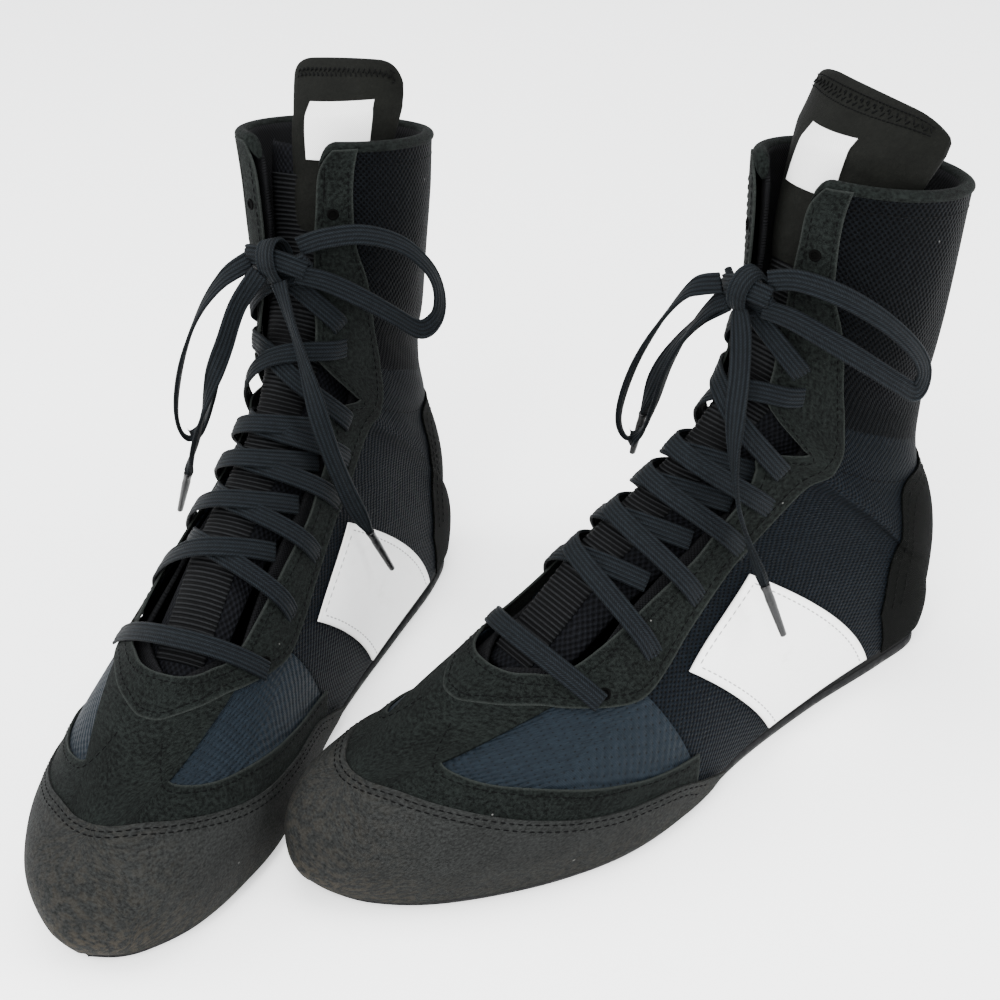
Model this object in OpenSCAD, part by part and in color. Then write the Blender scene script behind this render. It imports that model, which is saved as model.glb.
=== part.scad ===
// A pair of boxing boots: thin rubber soles, layered fabric uppers, high soft shafts,
// padded tongues and flat laces tied in a bow. X runs to the toes of the left boot, +Z up.

/* [Boot] */
// Length of a boot over the toe and the heel
boot_length = 295; // [270:1:320]
// Width of the upper across the ball of the foot
ball_width = 96; // [88:1:106]
// Height of the collar at the back of the leg
collar_back = 206; // [196:1:225]
// Height of the collar at the front of the leg
collar_front = 226; // [216:1:245]
// Height of the tongue's top edge above the floor
tongue_top = 245; // [240:1:262]

/* [Sole] */
// Thickness of the rubber outsole
outsole_t = 3.6; // [2.5:0.1:4.5]
// Thickness of the insole board
board_t = 1.6; // [1:0.1:2]
// Thickness of the sockliner
sockliner_t = 3; // [2:0.5:4]
// Gap between stacked sole layers
layer_gap = 0.3; // [0.2:0.1:0.5]

/* [Upper] */
// Thickness of the padded lining
lining_t = 1.8; // [1.2:0.1:2]
// Thickness of the mesh
mesh_t = 0.8; // [0.6:0.1:1]
// Thickness of the suede overlays, the toe wrap and the side bands
overlay_t = 0.8; // [0.6:0.1:1.2]
// Width of the side band
band_w = 40; // [20:1:50]

/* [Laces] */
// Width of the flat lace
lace_w = 8; // [6:0.5:9]
// Thickness of the flat lace
lace_t = 1.6; // [1.2:0.1:2]
// Length of an aglet
aglet_l = 22; // [16:1:26]

/* [Pair] */
// How far the right boot's heel is forward of the left boot's
right_ahead = 132; // [120:1:150]
// How far the right boot's heel is to the side of the left boot's
right_aside = 187; // [187:1:220]
// Angle between the boots
right_turn = 31.6; // [25:0.1:33]

/* [Hidden] */

// Lines of the left upper. Each list runs along the boot, from station 0 at the tip of the
// toe to station 18 at the collar. A cross-section is two curves, one a side, that run from
// the ridge (the front centre line) to the edge (the feather line, and behind station 12
// the back seam).
ridge_x = [287, 291, 288, 279, 263, 240, 214, 188, 164, 143, 126, 112, 103, 94, 88, 82, 77, 73, 70];
ridge_z = [6, 16, 28, 37, 44, 51, 65, 82, 100, 112, 122, 132, 141, 149, 157, 168, 182, 203, 226];
edge_x = [287, 283, 275, 260, 239, 213, 185, 155, 118, 75, 34, 10, 1, -4, -1, 7, 4, -3, -10];
edge_z = [6, 6, 6, 6, 6, 6, 6, 6, 7, 8, 9, 10, 11, 40, 70, 98, 126, 165, 206];
edge_out = [-10, 1, 13, 26, 37, 46, 50, 46, 34, 26, 22, 17, 0, 0, 0, 0, 0, 0, 0];
edge_in = [10, 22, 31, 40, 45, 46, 41, 34, 30, 28, 26, 19, 0, 0, 0, 0, 0, 0, 0];
// How far each curve leaves the ridge square to it, and how it meets the edge.
crown_out = [1, 8, 16, 24, 31, 35, 35, 32, 30, 29, 28, 28, 29, 32, 35, 37, 41, 47, 50];
crown_in = [1, 8, 15, 23, 28, 31, 30, 27, 26, 27, 27, 28, 29, 32, 35, 37, 41, 47, 50];
side_y = [1, 2, 3, 3, 3, 3, 3, 5, 8, 9, 9, 15, 42, 39, 37, 35, 41, 47, 50];
side_z = [1, 6, 14, 20, 24, 27, 32, 38, 46, 52, 56, 50, 32, 8, 2, 0, 0, 0, 0];
side_x = [0, 3, 4, 4, 3, 2, 2, 2, 2, 2, 2, -4, -6, 0, 2, 2, 0, 0, 0];
// The size and the heights that the lists are drawn at.
drawn_length = 295;
drawn_width = 96;
drawn_front = 226;
drawn_back = 206;
scale_x = boot_length / drawn_length;
scale_y = ball_width / drawn_width;

// Places on the upper, as stations.
toe_open = 1.2;
seam = 0.97;       // how near a panel's edge comes to the back seam
mesh_in = -mesh_t / 2;
mesh_out = mesh_t / 2;
over_in = 1;
over_out = over_in + overlay_t;
wrap_in = 1.6;
wrap_out = 2.6;
counter_in = -2.3;
counter_out = -1.5;
heel_in = 1.3;
heel_out = heel_in + overlay_t;
lining_in = -4.8;
lining_out = lining_in + lining_t;
lace_lift = 3;     // height of a lace over the suede it lies on
hinge_line = 226;
collar_station = 17.85; // where the shaft's panels end, under the collar's binding
label_low = 0.02;       // the label's edges, as shares of the tongue head's height and width
label_high = 0.3;
label_side = 0.28;

colour_rubber = [0.10, 0.10, 0.11];
colour_wrap = [0.27, 0.28, 0.28];
colour_suede = [0.11, 0.12, 0.12];
colour_mesh = [0.07, 0.09, 0.13];
colour_white = [0.88, 0.88, 0.86];
colour_foam = [0.75, 0.75, 0.72];
colour_lace = [0.06, 0.07, 0.10];

// A smooth curve through a list's values, read at station u.
function curve(list, u) =
  let (n = len(list) - 1)
  let (i = max(0, min(n - 1, floor(u))))
  let (t = u - i)
  let (a = list[max(i - 1, 0)], b = list[i], c = list[i + 1], d = list[min(i + 2, n)])
  let (square = 2 * a - 5 * b + 4 * c - d, cube = 3 * b - a - 3 * c + d)
  0.5 * (2 * b + (c - a) * t + square * t * t + cube * t * t * t);

function mix(a, b, t) = a + (b - a) * t;
function unit(p) = p / norm(p);

// The heights above the ankle follow the collar's driving heights.
function stretched(z, from, drawn, wanted) =
  z <= from ? z : from + (z - from) * (wanted - from) / (drawn - from);
function shaft_front(z) = stretched(z, 141, drawn_front, collar_front);
function shaft_back(z) = stretched(z, 98, drawn_back, collar_back);
function ridge_y(u) = -10 * max(0, min(1, (13 - u) / 11));

// The upper's outer face: u is the station, v runs from -1 (inner side's edge) over the
// ridge at 0 to 1 (outer side's edge).
function upper(u, v) =
  let (side = v < 0 ? -1 : 1, t = abs(v), r = 1 - abs(v))
  let (reach = curve(v < 0 ? crown_in : crown_out, u))
  let (edge_y = side * curve(v < 0 ? edge_in : edge_out, u))
  let (p0 = [curve(ridge_x, u), ridge_y(u), shaft_front(curve(ridge_z, u))])
  let (p1 = p0 + [0, side * reach, 0])
  let (p3 = [curve(edge_x, u), edge_y, shaft_back(curve(edge_z, u))])
  let (p2 = p3 + [curve(side_x, u), side * curve(side_y, u), curve(side_z, u)])
  let (p = r * r * r * p0 + 3 * r * r * t * p1 + 3 * r * t * t * p2 + t * t * t * p3)
  [p.x * scale_x, p.y * scale_y, p.z];

// A point at height d over a form that a function of u and v gives.
function over(form, u, v, d) =
  let (e = 0.02, vc = max(-0.985, min(0.985, v)))
  let (du = form(u + e, v) - form(u - e, v))
  let (dv = form(u, vc + e / 2) - form(u, vc - e / 2))
  form(u, v) + d * unit(cross(dv, du));

function upper_at(u, v, d) = over(function (a, b) upper(a, b), u, v, d);

// The tongue lies inside the lining and leans back as it nears the collar.
function tongue(u, v) = upper_at(u, v, -7.8 - 2.3 * max(0, u - 15));

// The tongue's head curves round the leg and leans back over the boot's mouth.
function head(s, t) = [
  mix(52 - 26 * t * t, 28 - 7 * t * t, s),
  2 + 35 * t,
  mix(hinge_line + 3, tongue_top, s) - mix(0, 4 * t * t + 3 * t, s)
];

// A closed skin between heights d0 and d1 over a grid of [u, v] pairs. Its rows run along u
// and its columns along v, or the other way round with flip. A ring's rows close up.
module skin(grid, d0, d1, flip = false, ring = false, form = function (a, b) upper(a, b)) {
  rows = len(grid);
  cols = len(grid[0]);
  points = [for (d = [d0, d1]) for (row = grid) for (q = row) over(form, q[0], q[1], d)];
  at = function (k, i, j) k * rows * cols + (i % rows) * cols + j;
  last_i = ring ? rows - 1 : rows - 2;
  right = cols - 1;
  top = rows - 1;
  cells = concat(
    [for (i = [0:last_i]) for (j = [0:cols - 2])
      [at(1, i, j), at(1, i + 1, j), at(1, i + 1, j + 1), at(1, i, j + 1)]],
    [for (i = [0:last_i]) for (j = [0:cols - 2])
      [at(0, i, j), at(0, i, j + 1), at(0, i + 1, j + 1), at(0, i + 1, j)]],
    [for (i = [0:last_i]) [at(0, i, 0), at(0, i + 1, 0), at(1, i + 1, 0), at(1, i, 0)]],
    [for (i = [0:last_i]) [at(1, i, right), at(1, i + 1, right), at(0, i + 1, right), at(0, i, right)]],
    ring ? [] : [for (j = [0:cols - 2]) [at(1, 0, j), at(1, 0, j + 1), at(0, 0, j + 1), at(0, 0, j)]],
    ring ? [] : [for (j = [0:cols - 2])
      [at(0, top, j), at(0, top, j + 1), at(1, top, j + 1), at(1, top, j)]]
  );
  faces = [for (c = cells) for (f = [[c[0], c[1], c[2]], [c[0], c[2], c[3]]]) flip ? [f[0], f[2], f[1]] : f];
  polyhedron(points, faces);
}

// Rows that run from a lower line to an upper line, with steps cells between them.
function ruled(low, high, steps) =
  [for (i = [0:len(low) - 1]) [for (j = [0:steps]) mix(low[i], high[i], j / steps)]];

// A line with a point added in the middle of each step.
function finer(line) = concat(
  [for (i = [0:len(line) - 2]) each [line[i], mix(line[i], line[i + 1], 0.5)]],
  [line[len(line) - 1]]
);

// A line on the outer side, made whole by its mirror image on the inner side.
function mirrored(line) = [for (i = [1:len(line)]) [line[len(line) - i][0], -line[len(line) - i][1]]];
function both_sides(line) = concat(mirrored(line), line);

// A grid's mirror image on the inner side of the boot.
function inner(grid) = [for (row = grid) [for (q = row) [q[0], -q[1]]]];

// The v values of a panel that goes round the back of the boot, from v at one side's front
// edge to -v at the other's.
function round_back(v, steps) = concat(
  [for (i = [0:steps]) mix(v, seam, i / steps)],
  [for (i = [0:steps]) mix(-seam, -v, i / steps)]
);

// Where the foot's panels end and where the shaft's begin, either side of the ankle.
function foot_end(v) = 11.6 + 3 * abs(v);
function shaft_start(v) = 13.55 + 1.75 * abs(v);

// The sole's outline at station u: side 1 outward, -1 inward, drawn in by inset.
function outline(u, side, inset) =
  let (p = upper(u, side), a = upper(u - 0.1, side), b = upper(u + 0.1, side))
  let (along = unit([b.x - a.x, b.y - a.y]))
  [p.x, p.y] + inset * side * [-along.y, along.x];

sole_stations = [0.5, 1, 1.5, 2, 3, 4, 5, 6, 7, 8, 9, 10, 11, 11.5, 11.8];
function sole_outline(inset) = concat(
  [for (u = sole_stations) outline(u, 1, inset)],
  [for (i = [1:len(sole_stations)]) outline(sole_stations[len(sole_stations) - i], -1, inset)]
);

// A sole layer between two heights over the floor, each a function of the station.
module sole_layer(inset, low, high) {
  from = inset > 3 ? 2 : 0;
  us = [for (i = [from:len(sole_stations) - 1]) sole_stations[i]];
  n = len(us);
  points = [for (f = [low, high]) for (side = [1, -1]) for (u = us)
    let (q = outline(u, side, inset)) [q.x, q.y, f(u)]];
  cells = [for (i = [0:n - 2]) each [
    [2 * n + i, 3 * n + i, 3 * n + i + 1, 2 * n + i + 1], [i, i + 1, n + i + 1, n + i],
    [i, 2 * n + i, 2 * n + i + 1, i + 1], [n + i, n + i + 1, 3 * n + i + 1, 3 * n + i]]];
  ends = [[0, n, 3 * n, 2 * n], [n - 1, 3 * n - 1, 4 * n - 1, 2 * n - 1]];
  faces = [for (c = concat(cells, ends)) for (f = [[c[0], c[1], c[2]], [c[0], c[2], c[3]]]) f];
  polyhedron(points, faces);
}

function feather(u) = curve(edge_z, u);

// --- Sole ---
module outsole() {
  color(colour_rubber) linear_extrude(outsole_t) polygon(sole_outline(1));
}

module midsole() {
  color(colour_rubber)
    sole_layer(1.5, function (u) outsole_t + layer_gap, function (u) feather(u) - layer_gap);
}

module insole_board() {
  bottom = layer_gap;
  color(colour_foam)
    sole_layer(6.5, function (u) feather(u) + bottom, function (u) feather(u) + bottom + board_t);
}

module sockliner() {
  bottom = board_t + 3 * layer_gap;
  color(colour_rubber)
    sole_layer(7, function (u) feather(u) + bottom, function (u) feather(u) + bottom + sockliner_t);
}

// --- Foot ---
module toe_wrap() {
  low = [[0.25, 0.15], [0.3, 1], [1, 1], [2, 1], [3, 1], [4, 1], [5, 1], [6, 1], [6.7, 1], [7.2, 1]];
  high = [[3.9, 0.03], [4.1, 0.15], [4.3, 0.3], [4.6, 0.45], [4.9, 0.57], [5.3, 0.7], [5.8, 0.78],
    [6.4, 0.84], [6.9, 0.89], [7.4, 0.96]];
  color(colour_wrap) skin(ruled(both_sides(low), both_sides(high), 5), wrap_in, wrap_out, flip = true);
}

module vamp_overlay() {
  low = [[3.97, 0.03], [4.2, 0.15], [4.4, 0.28], [4.7, 0.42], [5, 0.54], [5.4, 0.67], [5.9, 0.75],
    [6.5, 0.81], [7, 0.86]];
  high = [[5.6, 0.03], [5.5, 0.12], [5, 0.17], [4.9, 0.25], [5.1, 0.4], [5.5, 0.58], [6, 0.68],
    [6.6, 0.76], [7.1, 0.81]];
  color(colour_suede) skin(ruled(both_sides(low), both_sides(high), 3), over_in, over_out, flip = true);
}

module forefoot_mesh() {
  throat = function (v) 6.2 + 1.1 * min(1, max(0, (abs(v) - 0.25) / 0.3));
  grid = [for (i = [0:5]) [for (j = [-7:7]) let (v = j / 7) [mix(3.2, throat(v), i / 5), v]]];
  color(colour_mesh) skin(grid, mesh_in, mesh_out);
}

module quarter_mesh() {
  grid = [for (i = [0:9]) [for (j = [0:7]) let (v = mix(0.37, seam, j / 7))
    [mix(7.4, foot_end(v), i / 9), v]]];
  color(colour_mesh) {
    skin(grid, mesh_in, mesh_out);
    skin(inner(grid), mesh_in, mesh_out, flip = true);
  }
}

module eyestays_lower() {
  throat = [[6.35, 0.03], [6.4, 0.12], [6.65, 0.27], [7.2, 0.32], [7.8, 0.34], [8.6, 0.34], [9.5, 0.32],
    [10.5, 0.29], [11.2, 0.25], [12, 0.29]];
  outer = [[5.7, 0.03], [5.75, 0.1], [6.05, 0.22], [6.5, 0.42], [7.1, 0.55], [8.1, 0.5], [9.2, 0.45],
    [10.5, 0.41], [11.5, 0.39], [12.4, 0.38]];
  color(colour_suede) skin(ruled(both_sides(outer), both_sides(throat), 2), over_in, over_out, flip = true);
}

module heel_overlay() {
  low = finer([[12, 0.985], [11.6, 1], [11, 1], [10.6, 1], [10.2, 1]]);
  high = finer([[14.1, 0.97], [13.9, 0.78], [13.1, 0.6], [12, 0.63], [10.4, 0.76]]);
  color(colour_suede) skin(ruled(both_sides(low), both_sides(high), 6), heel_in, heel_out);
}

module heel_counter() {
  low = finer([[11.9, 0.985], [11.4, 1], [10.6, 1], [9.8, 1]]);
  high = finer([[13.5, 0.97], [13.2, 0.78], [12.2, 0.64], [10.2, 0.78]]);
  color(colour_foam) skin(ruled(both_sides(low), both_sides(high), 6), counter_in, counter_out);
}

module side_bands() {
  half = band_w / 40 * 0.68;
  top = function (i) [8.42 + half * i, 0.54 - 0.05 * i];
  bottom = function (i) [9.02 + half * i, seam];
  grid = [for (i = [-1:1]) [for (j = [0:6]) mix(top(i), bottom(i), j / 6)]];
  color(colour_white) {
    skin(grid, over_in, over_out);
    skin(inner(grid), over_in, over_out, flip = true);
  }
}

module foot_lining() {
  low = [[toe_open, 0.25], [toe_open, 0.8], [2, 1], [3, 1], [4, 1], [5, 1], [6, 1], [7, 1], [8, 1],
    [9, 1], [10, 1], [11, 1], [11.6, 1], [12, 0.97]];
  high = [[6.3, 0.05], [6.4, 0.18], [6.6, 0.31], [7, 0.33], [7.6, 0.33], [8.4, 0.33], [9.2, 0.33],
    [10, 0.33], [10.8, 0.33], [11.6, 0.33], [foot_end(0.36), 0.36], [foot_end(0.55), 0.55],
    [foot_end(0.77), 0.77], [foot_end(0.97), 0.97]];
  color(colour_mesh)
    skin(ruled(both_sides(low), both_sides(high), 4), lining_in, lining_out, flip = true, ring = true);
}

// --- Ankle and shaft ---
module ankle_panel() {
  clear = 0.07;
  grid = [for (i = [0:3]) [for (v = round_back(0.32, 5))
    [mix(foot_end(v) + clear, shaft_start(v) - clear, i / 3), v]]];
  color(colour_mesh) skin(grid, -3.6, mesh_out);
}

module shaft_lining() {
  grid = [for (i = [0:5]) [for (v = round_back(0.12, 7)) [mix(shaft_start(v), collar_station, i / 5), v]]];
  color(colour_mesh) skin(grid, lining_in, lining_out);
}

module shaft_mesh() {
  grid = [for (i = [0:5]) [for (v = round_back(0.25, 6)) [mix(shaft_start(v), collar_station, i / 5), v]]];
  color(colour_mesh) skin(grid, mesh_in, mesh_out);
}

module eyestays_upper() {
  front = function (u) 0.1 + 0.05 * max(0, 15 - u);
  rear = function (u) 0.22 + 0.06 * max(0, 16.5 - u);
  low = 13.95;
  high = 17.82;
  grid = [for (i = [0:7]) let (a = mix(low, high, i / 7)) [for (j = [0:2])
    let (v = mix(front(a), rear(a), j / 2)) [mix(shaft_start(v), high, i / 7), v]]];
  color(colour_suede) {
    skin(grid, over_in, over_out);
    skin(inner(grid), over_in, over_out, flip = true);
  }
}

module collar_binding() {
  grid = [for (i = [0:1]) [for (v = round_back(0.12, 8)) [mix(17.92, 18.12, i), v]]];
  color(colour_suede) skin(grid, lining_in - 0.4, 1.6);
}

// --- Tongue ---
module tongue_body() {
  wide = function (u) 0.26 + 0.1 * min(1, (u - 6.8) / 2);
  grid = [for (i = [0:22]) let (u = 6.8 + i / 2) [for (j = [-2:2]) [u, j / 2 * wide(u)]]];
  color(colour_mesh) skin(grid, -1.6, 1.6, form = function (a, b) tongue(a, b));
}

module tongue_head() {
  grid = [for (i = [0:4]) [for (j = [-6:6]) [i / 4, j / 6]]];
  color(colour_suede) skin(grid, -3.5, 3.5, form = function (a, b) head(a, b));
}

module tongue_label() {
  grid = [for (i = [0:2]) [for (j = [-2:2]) [mix(label_low, label_high, i / 2), j / 2 * label_side]]];
  color(colour_white) skin(grid, 3.8, 4.5, form = function (a, b) head(a, b));
}

// --- Laces ---
// A flat lace along a list of [u, v, height].
module ribbon(path) {
  n = len(path);
  c = [for (q = path) upper_at(q[0], q[1], q[2])];
  up = [for (q = path) unit(upper_at(q[0], q[1], 1) - upper(q[0], q[1]))];
  along = [for (i = [0:n - 1]) unit(c[min(i + 1, n - 1)] - c[max(i - 1, 0)])];
  wide = [for (i = [0:n - 1]) unit(cross(along[i], up[i]))];
  points = [for (i = [0:n - 1]) for (k = [[1, 1], [1, -1], [-1, -1], [-1, 1]])
    c[i] + wide[i] * lace_w / 2 * k[0] + up[i] * lace_t / 2 * k[1]];
  faces = concat(
    [[0, 1, 2], [0, 2, 3], [4 * n - 4, 4 * n - 2, 4 * n - 3], [4 * n - 4, 4 * n - 1, 4 * n - 2]],
    [for (i = [0:n - 2]) for (k = [0:3]) let (a = 4 * i + k, b = 4 * i + (k + 1) % 4)
      each [[a, a + 4, b + 4], [a, b + 4, b]]]
  );
  polyhedron(points, faces);
}

// A lace that starts on the suede at [u0, v0] and crosses the tongue to [u1, v1], where it
// dips under the far stay; mid is its height where it crosses its partner.
module crossing(u0, v0, u1, v1, mid) {
  heights = [lace_lift, lace_lift, mix(lace_lift, mid, 0.7), mid, mix(mid, -1.2, 0.6), -1.2];
  shares = [0, 0.14, 0.38, 0.58, 0.8, 1];
  ribbon([for (i = [0:5]) [mix(u0, u1, shares[i]), mix(v0, v1, shares[i]), heights[i]]]);
}

eyelets = [[6.85, 0.43], [7.6, 0.45], [8.45, 0.43], [9.35, 0.4], [10.2, 0.36]];

module lace_rows_lower() {
  color(colour_lace) {
    ribbon([for (j = [-3:3]) [eyelets[0][0] - 0.12, j / 3 * eyelets[0][1], 2.6 + abs(j) * 0.13]]);
    for (i = [0:3]) {
      crossing(eyelets[i + 1][0], eyelets[i + 1][1], eyelets[i + 1][0] + 0.62, -0.3, 1.4);
      crossing(eyelets[i + 1][0], -eyelets[i + 1][1], eyelets[i + 1][0] + 0.62, 0.3, -1.2);
    }
  }
}

module lace_rows_ankle() {
  color(colour_lace) {
    ribbon([[11.15, 0.3, 3.9], [11.6, 0.22, 3.6], [12.1, 0.1, 2.7], [12.6, 0, 2.2], [13.2, -0.12, 2],
      [13.9, -0.22, 3]]);
    ribbon([[11.15, -0.3, 3.9], [11.6, -0.22, 2.9], [12.1, -0.1, 0.3], [12.6, 0, -0.4],
      [13.2, 0.12, 0.4], [13.9, 0.22, 3]]);
  }
}

module lace_rows_upper() {
  color(colour_lace) {
    ribbon([[14.5, 0.2, 3.9], [14.9, 0.12, 4.2], [15.3, 0.03, 4.4], [15.7, -0.06, 4.6]]);
    ribbon([[14.5, -0.2, 3.9], [14.9, -0.12, 3.6], [15.3, -0.03, 1.8], [15.7, 0.06, 1.8]]);
  }
}

module lace_knot() {
  color(colour_lace) hull()
    for (y = [-6, 6])
      translate([84, y, 184]) sphere(5.5, $fn = 10);
}

// A free lace swept as a tube along its route.
module cord(route, r = 2.4) {
  sides = 8;
  steps = 2;
  n = (len(route) - 1) * steps;
  c = [for (i = [0:n]) curve(route, i / steps)];
  along = [for (i = [0:n]) unit(c[min(i + 1, n)] - c[max(i - 1, 0)])];
  side = [for (a = along) unit(cross(a, abs(a.y) > 0.8 ? [1, 0, 0.2] : [0, 1, 0]))];
  points = [for (i = [0:n]) for (k = [0:sides - 1])
    let (q = 360 * k / sides) c[i] + r * (cos(q) * side[i] + sin(q) * cross(along[i], side[i]))];
  faces = concat(
    [[for (k = [0:sides - 1]) k]],
    [[for (k = [0:sides - 1]) n * sides + sides - 1 - k]],
    [for (i = [0:n - 1]) for (k = [0:sides - 1])
      let (a = i * sides + k, b = i * sides + (k + 1) % sides)
        each [[a, b + sides, b], [a, a + sides, b + sides]]]
  );
  color(colour_lace) polyhedron(points, faces);
}

// Routes of the free laces, in the frame of the boot that they are on; a right boot's
// routes are drawn before it is mirrored.
left_loop_medial = [[90, -10, 184], [96, -20, 180], [104, -27, 168], [112, -33, 152], [117, -37, 136],
  [119, -38, 124], [117, -36, 117], [112, -33, 119], [108, -30, 130], [103, -27, 146], [97, -21, 162],
  [92, -13, 174], [88, -8, 178]];
left_loop_lateral = [[84, 10, 190], [79, 20, 192], [69, 31, 187], [57, 38, 177], [47, 42, 166],
  [40, 43, 156], [38, 43, 148], [42, 43, 143], [50, 42, 149], [61, 38, 159], [72, 31, 169],
  [81, 20, 177], [87, 10, 180]];
left_end_medial = [[89, -8, 177], [91, -18, 168], [95, -28, 156], [98, -36, 143], [100, -42, 130],
  [101, -46, 118]];
left_end_lateral = [[91, 2, 178], [94, 6, 168], [99, 11, 158], [105, 16, 146], [110, 21, 132],
  [113, 27, 114], [112, 33, 98], [110, 38, 84]];
right_loop_medial = [[84, -10, 190], [80, -20, 193], [71, -32, 192], [60, -42, 184], [53, -49, 172],
  [50, -51, 160], [52, -50, 150], [59, -46, 147], [67, -39, 156], [75, -31, 166], [82, -20, 175],
  [88, -10, 180]];
right_loop_lateral = [[90, 10, 184], [96, 19, 178], [102, 28, 166], [107, 36, 148], [110, 41, 130],
  [110, 43, 116], [107, 42, 108], [102, 38, 110], [99, 32, 122], [97, 26, 140], [94, 19, 158],
  [91, 13, 170], [88, 8, 177]];
right_end_lateral = [[93, 4, 181], [98, 13, 168], [103, 19, 152], [108, 25, 136], [112, 30, 120],
  [114, 35, 106], [114, 39, 96]];
right_end_medial = [[91, -3, 177], [95, -8, 166], [100, -14, 155], [105, -20, 142], [109, -25, 128],
  [111, -30, 112], [110, -35, 94], [106, -39, 78]];

// An aglet beyond the end of a route.
module aglets(route_a, route_b) {
  aglet(route_a);
  aglet(route_b);
}

module aglet(route) {
  n = len(route) - 1;
  end = route[n];
  along = unit(end - route[n - 1]);
  tilt = acos(along.z);
  turn = atan2(along.y, along.x);
  color(colour_rubber) translate(end + along * layer_gap) rotate([0, tilt, turn])
    cylinder(h = aglet_l, r = 2.2, $fn = 24);
}

// --- Pair ---
// Both boots stand with the middle of the pair's box over the origin.
pair_shift = [-184.6, 81.4, 0];

module left() {
  translate(pair_shift) children();
}

module right() {
  translate(pair_shift + [right_ahead, -right_aside, 0]) rotate(right_turn) mirror([0, 1, 0]) children();
}

left() outsole();  // left_outsole
left() midsole();  // left_midsole
left() insole_board();  // left_insole_board
left() sockliner();  // left_sockliner
left() toe_wrap();  // left_toe_wrap
left() vamp_overlay();  // left_vamp_overlay
left() forefoot_mesh();  // left_forefoot_mesh
left() quarter_mesh();  // left_quarter_mesh
left() eyestays_lower();  // left_eyestays_lower
left() heel_overlay();  // left_heel_overlay
left() heel_counter();  // left_heel_counter
left() side_bands();  // left_side_bands
left() foot_lining();  // left_foot_lining
left() lace_rows_lower();  // left_lace_rows_lower
left() lace_rows_ankle();  // left_lace_rows_ankle
left() ankle_panel();  // left_ankle_panel
left() tongue_body();  // left_tongue_body
left() shaft_lining();  // left_shaft_lining
left() shaft_mesh();  // left_shaft_mesh
left() eyestays_upper();  // left_eyestays_upper
left() collar_binding();  // left_collar_binding
left() lace_rows_upper();  // left_lace_rows_upper
left() lace_knot();  // left_lace_knot
left() cord(left_loop_medial);  // left_bow_loop_medial
left() cord(left_loop_lateral);  // left_bow_loop_lateral
left() cord(left_end_medial);  // left_lace_end_medial
left() cord(left_end_lateral);  // left_lace_end_lateral
left() aglets(left_end_medial, left_end_lateral);  // left_aglets
left() tongue_head();  // left_tongue_head
left() tongue_label();  // left_tongue_label
right() outsole();  // right_outsole
right() midsole();  // right_midsole
right() insole_board();  // right_insole_board
right() sockliner();  // right_sockliner
right() toe_wrap();  // right_toe_wrap
right() vamp_overlay();  // right_vamp_overlay
right() forefoot_mesh();  // right_forefoot_mesh
right() quarter_mesh();  // right_quarter_mesh
right() eyestays_lower();  // right_eyestays_lower
right() heel_overlay();  // right_heel_overlay
right() heel_counter();  // right_heel_counter
right() side_bands();  // right_side_bands
right() foot_lining();  // right_foot_lining
right() lace_rows_lower();  // right_lace_rows_lower
right() lace_rows_ankle();  // right_lace_rows_ankle
right() ankle_panel();  // right_ankle_panel
right() tongue_body();  // right_tongue_body
right() shaft_lining();  // right_shaft_lining
right() shaft_mesh();  // right_shaft_mesh
right() eyestays_upper();  // right_eyestays_upper
right() collar_binding();  // right_collar_binding
right() lace_rows_upper();  // right_lace_rows_upper
right() lace_knot();  // right_lace_knot
right() cord(right_loop_medial);  // right_bow_loop_medial
right() cord(right_loop_lateral);  // right_bow_loop_lateral
right() cord(right_end_medial);  // right_lace_end_medial
right() cord(right_end_lateral);  // right_lace_end_lateral
right() aglets(right_end_medial, right_end_lateral);  // right_aglets
right() tongue_head();  // right_tongue_head
right() tongue_label();  // right_tongue_label
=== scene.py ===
"""A pair of black boxing boots with white side bands, laced and tied in a bow."""
import math

import bmesh
import bpy
import numpy as np
from mathutils import Matrix, Vector


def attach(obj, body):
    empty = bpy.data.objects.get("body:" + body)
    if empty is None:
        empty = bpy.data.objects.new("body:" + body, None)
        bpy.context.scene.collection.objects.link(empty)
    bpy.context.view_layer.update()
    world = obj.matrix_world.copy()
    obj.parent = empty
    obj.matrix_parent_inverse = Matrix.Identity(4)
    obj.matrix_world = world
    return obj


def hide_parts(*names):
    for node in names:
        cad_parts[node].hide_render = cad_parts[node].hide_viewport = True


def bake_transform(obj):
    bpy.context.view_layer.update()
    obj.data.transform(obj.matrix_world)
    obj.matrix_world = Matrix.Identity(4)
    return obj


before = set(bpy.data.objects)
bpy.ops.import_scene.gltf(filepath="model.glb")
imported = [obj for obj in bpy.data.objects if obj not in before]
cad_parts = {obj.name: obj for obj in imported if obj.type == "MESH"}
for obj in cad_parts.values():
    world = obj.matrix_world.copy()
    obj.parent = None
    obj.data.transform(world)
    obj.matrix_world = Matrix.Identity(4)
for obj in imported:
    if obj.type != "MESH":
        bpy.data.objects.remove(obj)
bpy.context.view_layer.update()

# --- Camera ---
# It stands half a metre up, ahead of the toes on the left boot's outer side, looks down
# at the pair and is rolled a little.
camera_place = Vector((0.3129, 0.5808, 0.5018))
camera_heading = -2.11067
camera_dip = 0.55765
camera_roll = -0.08643

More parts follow.
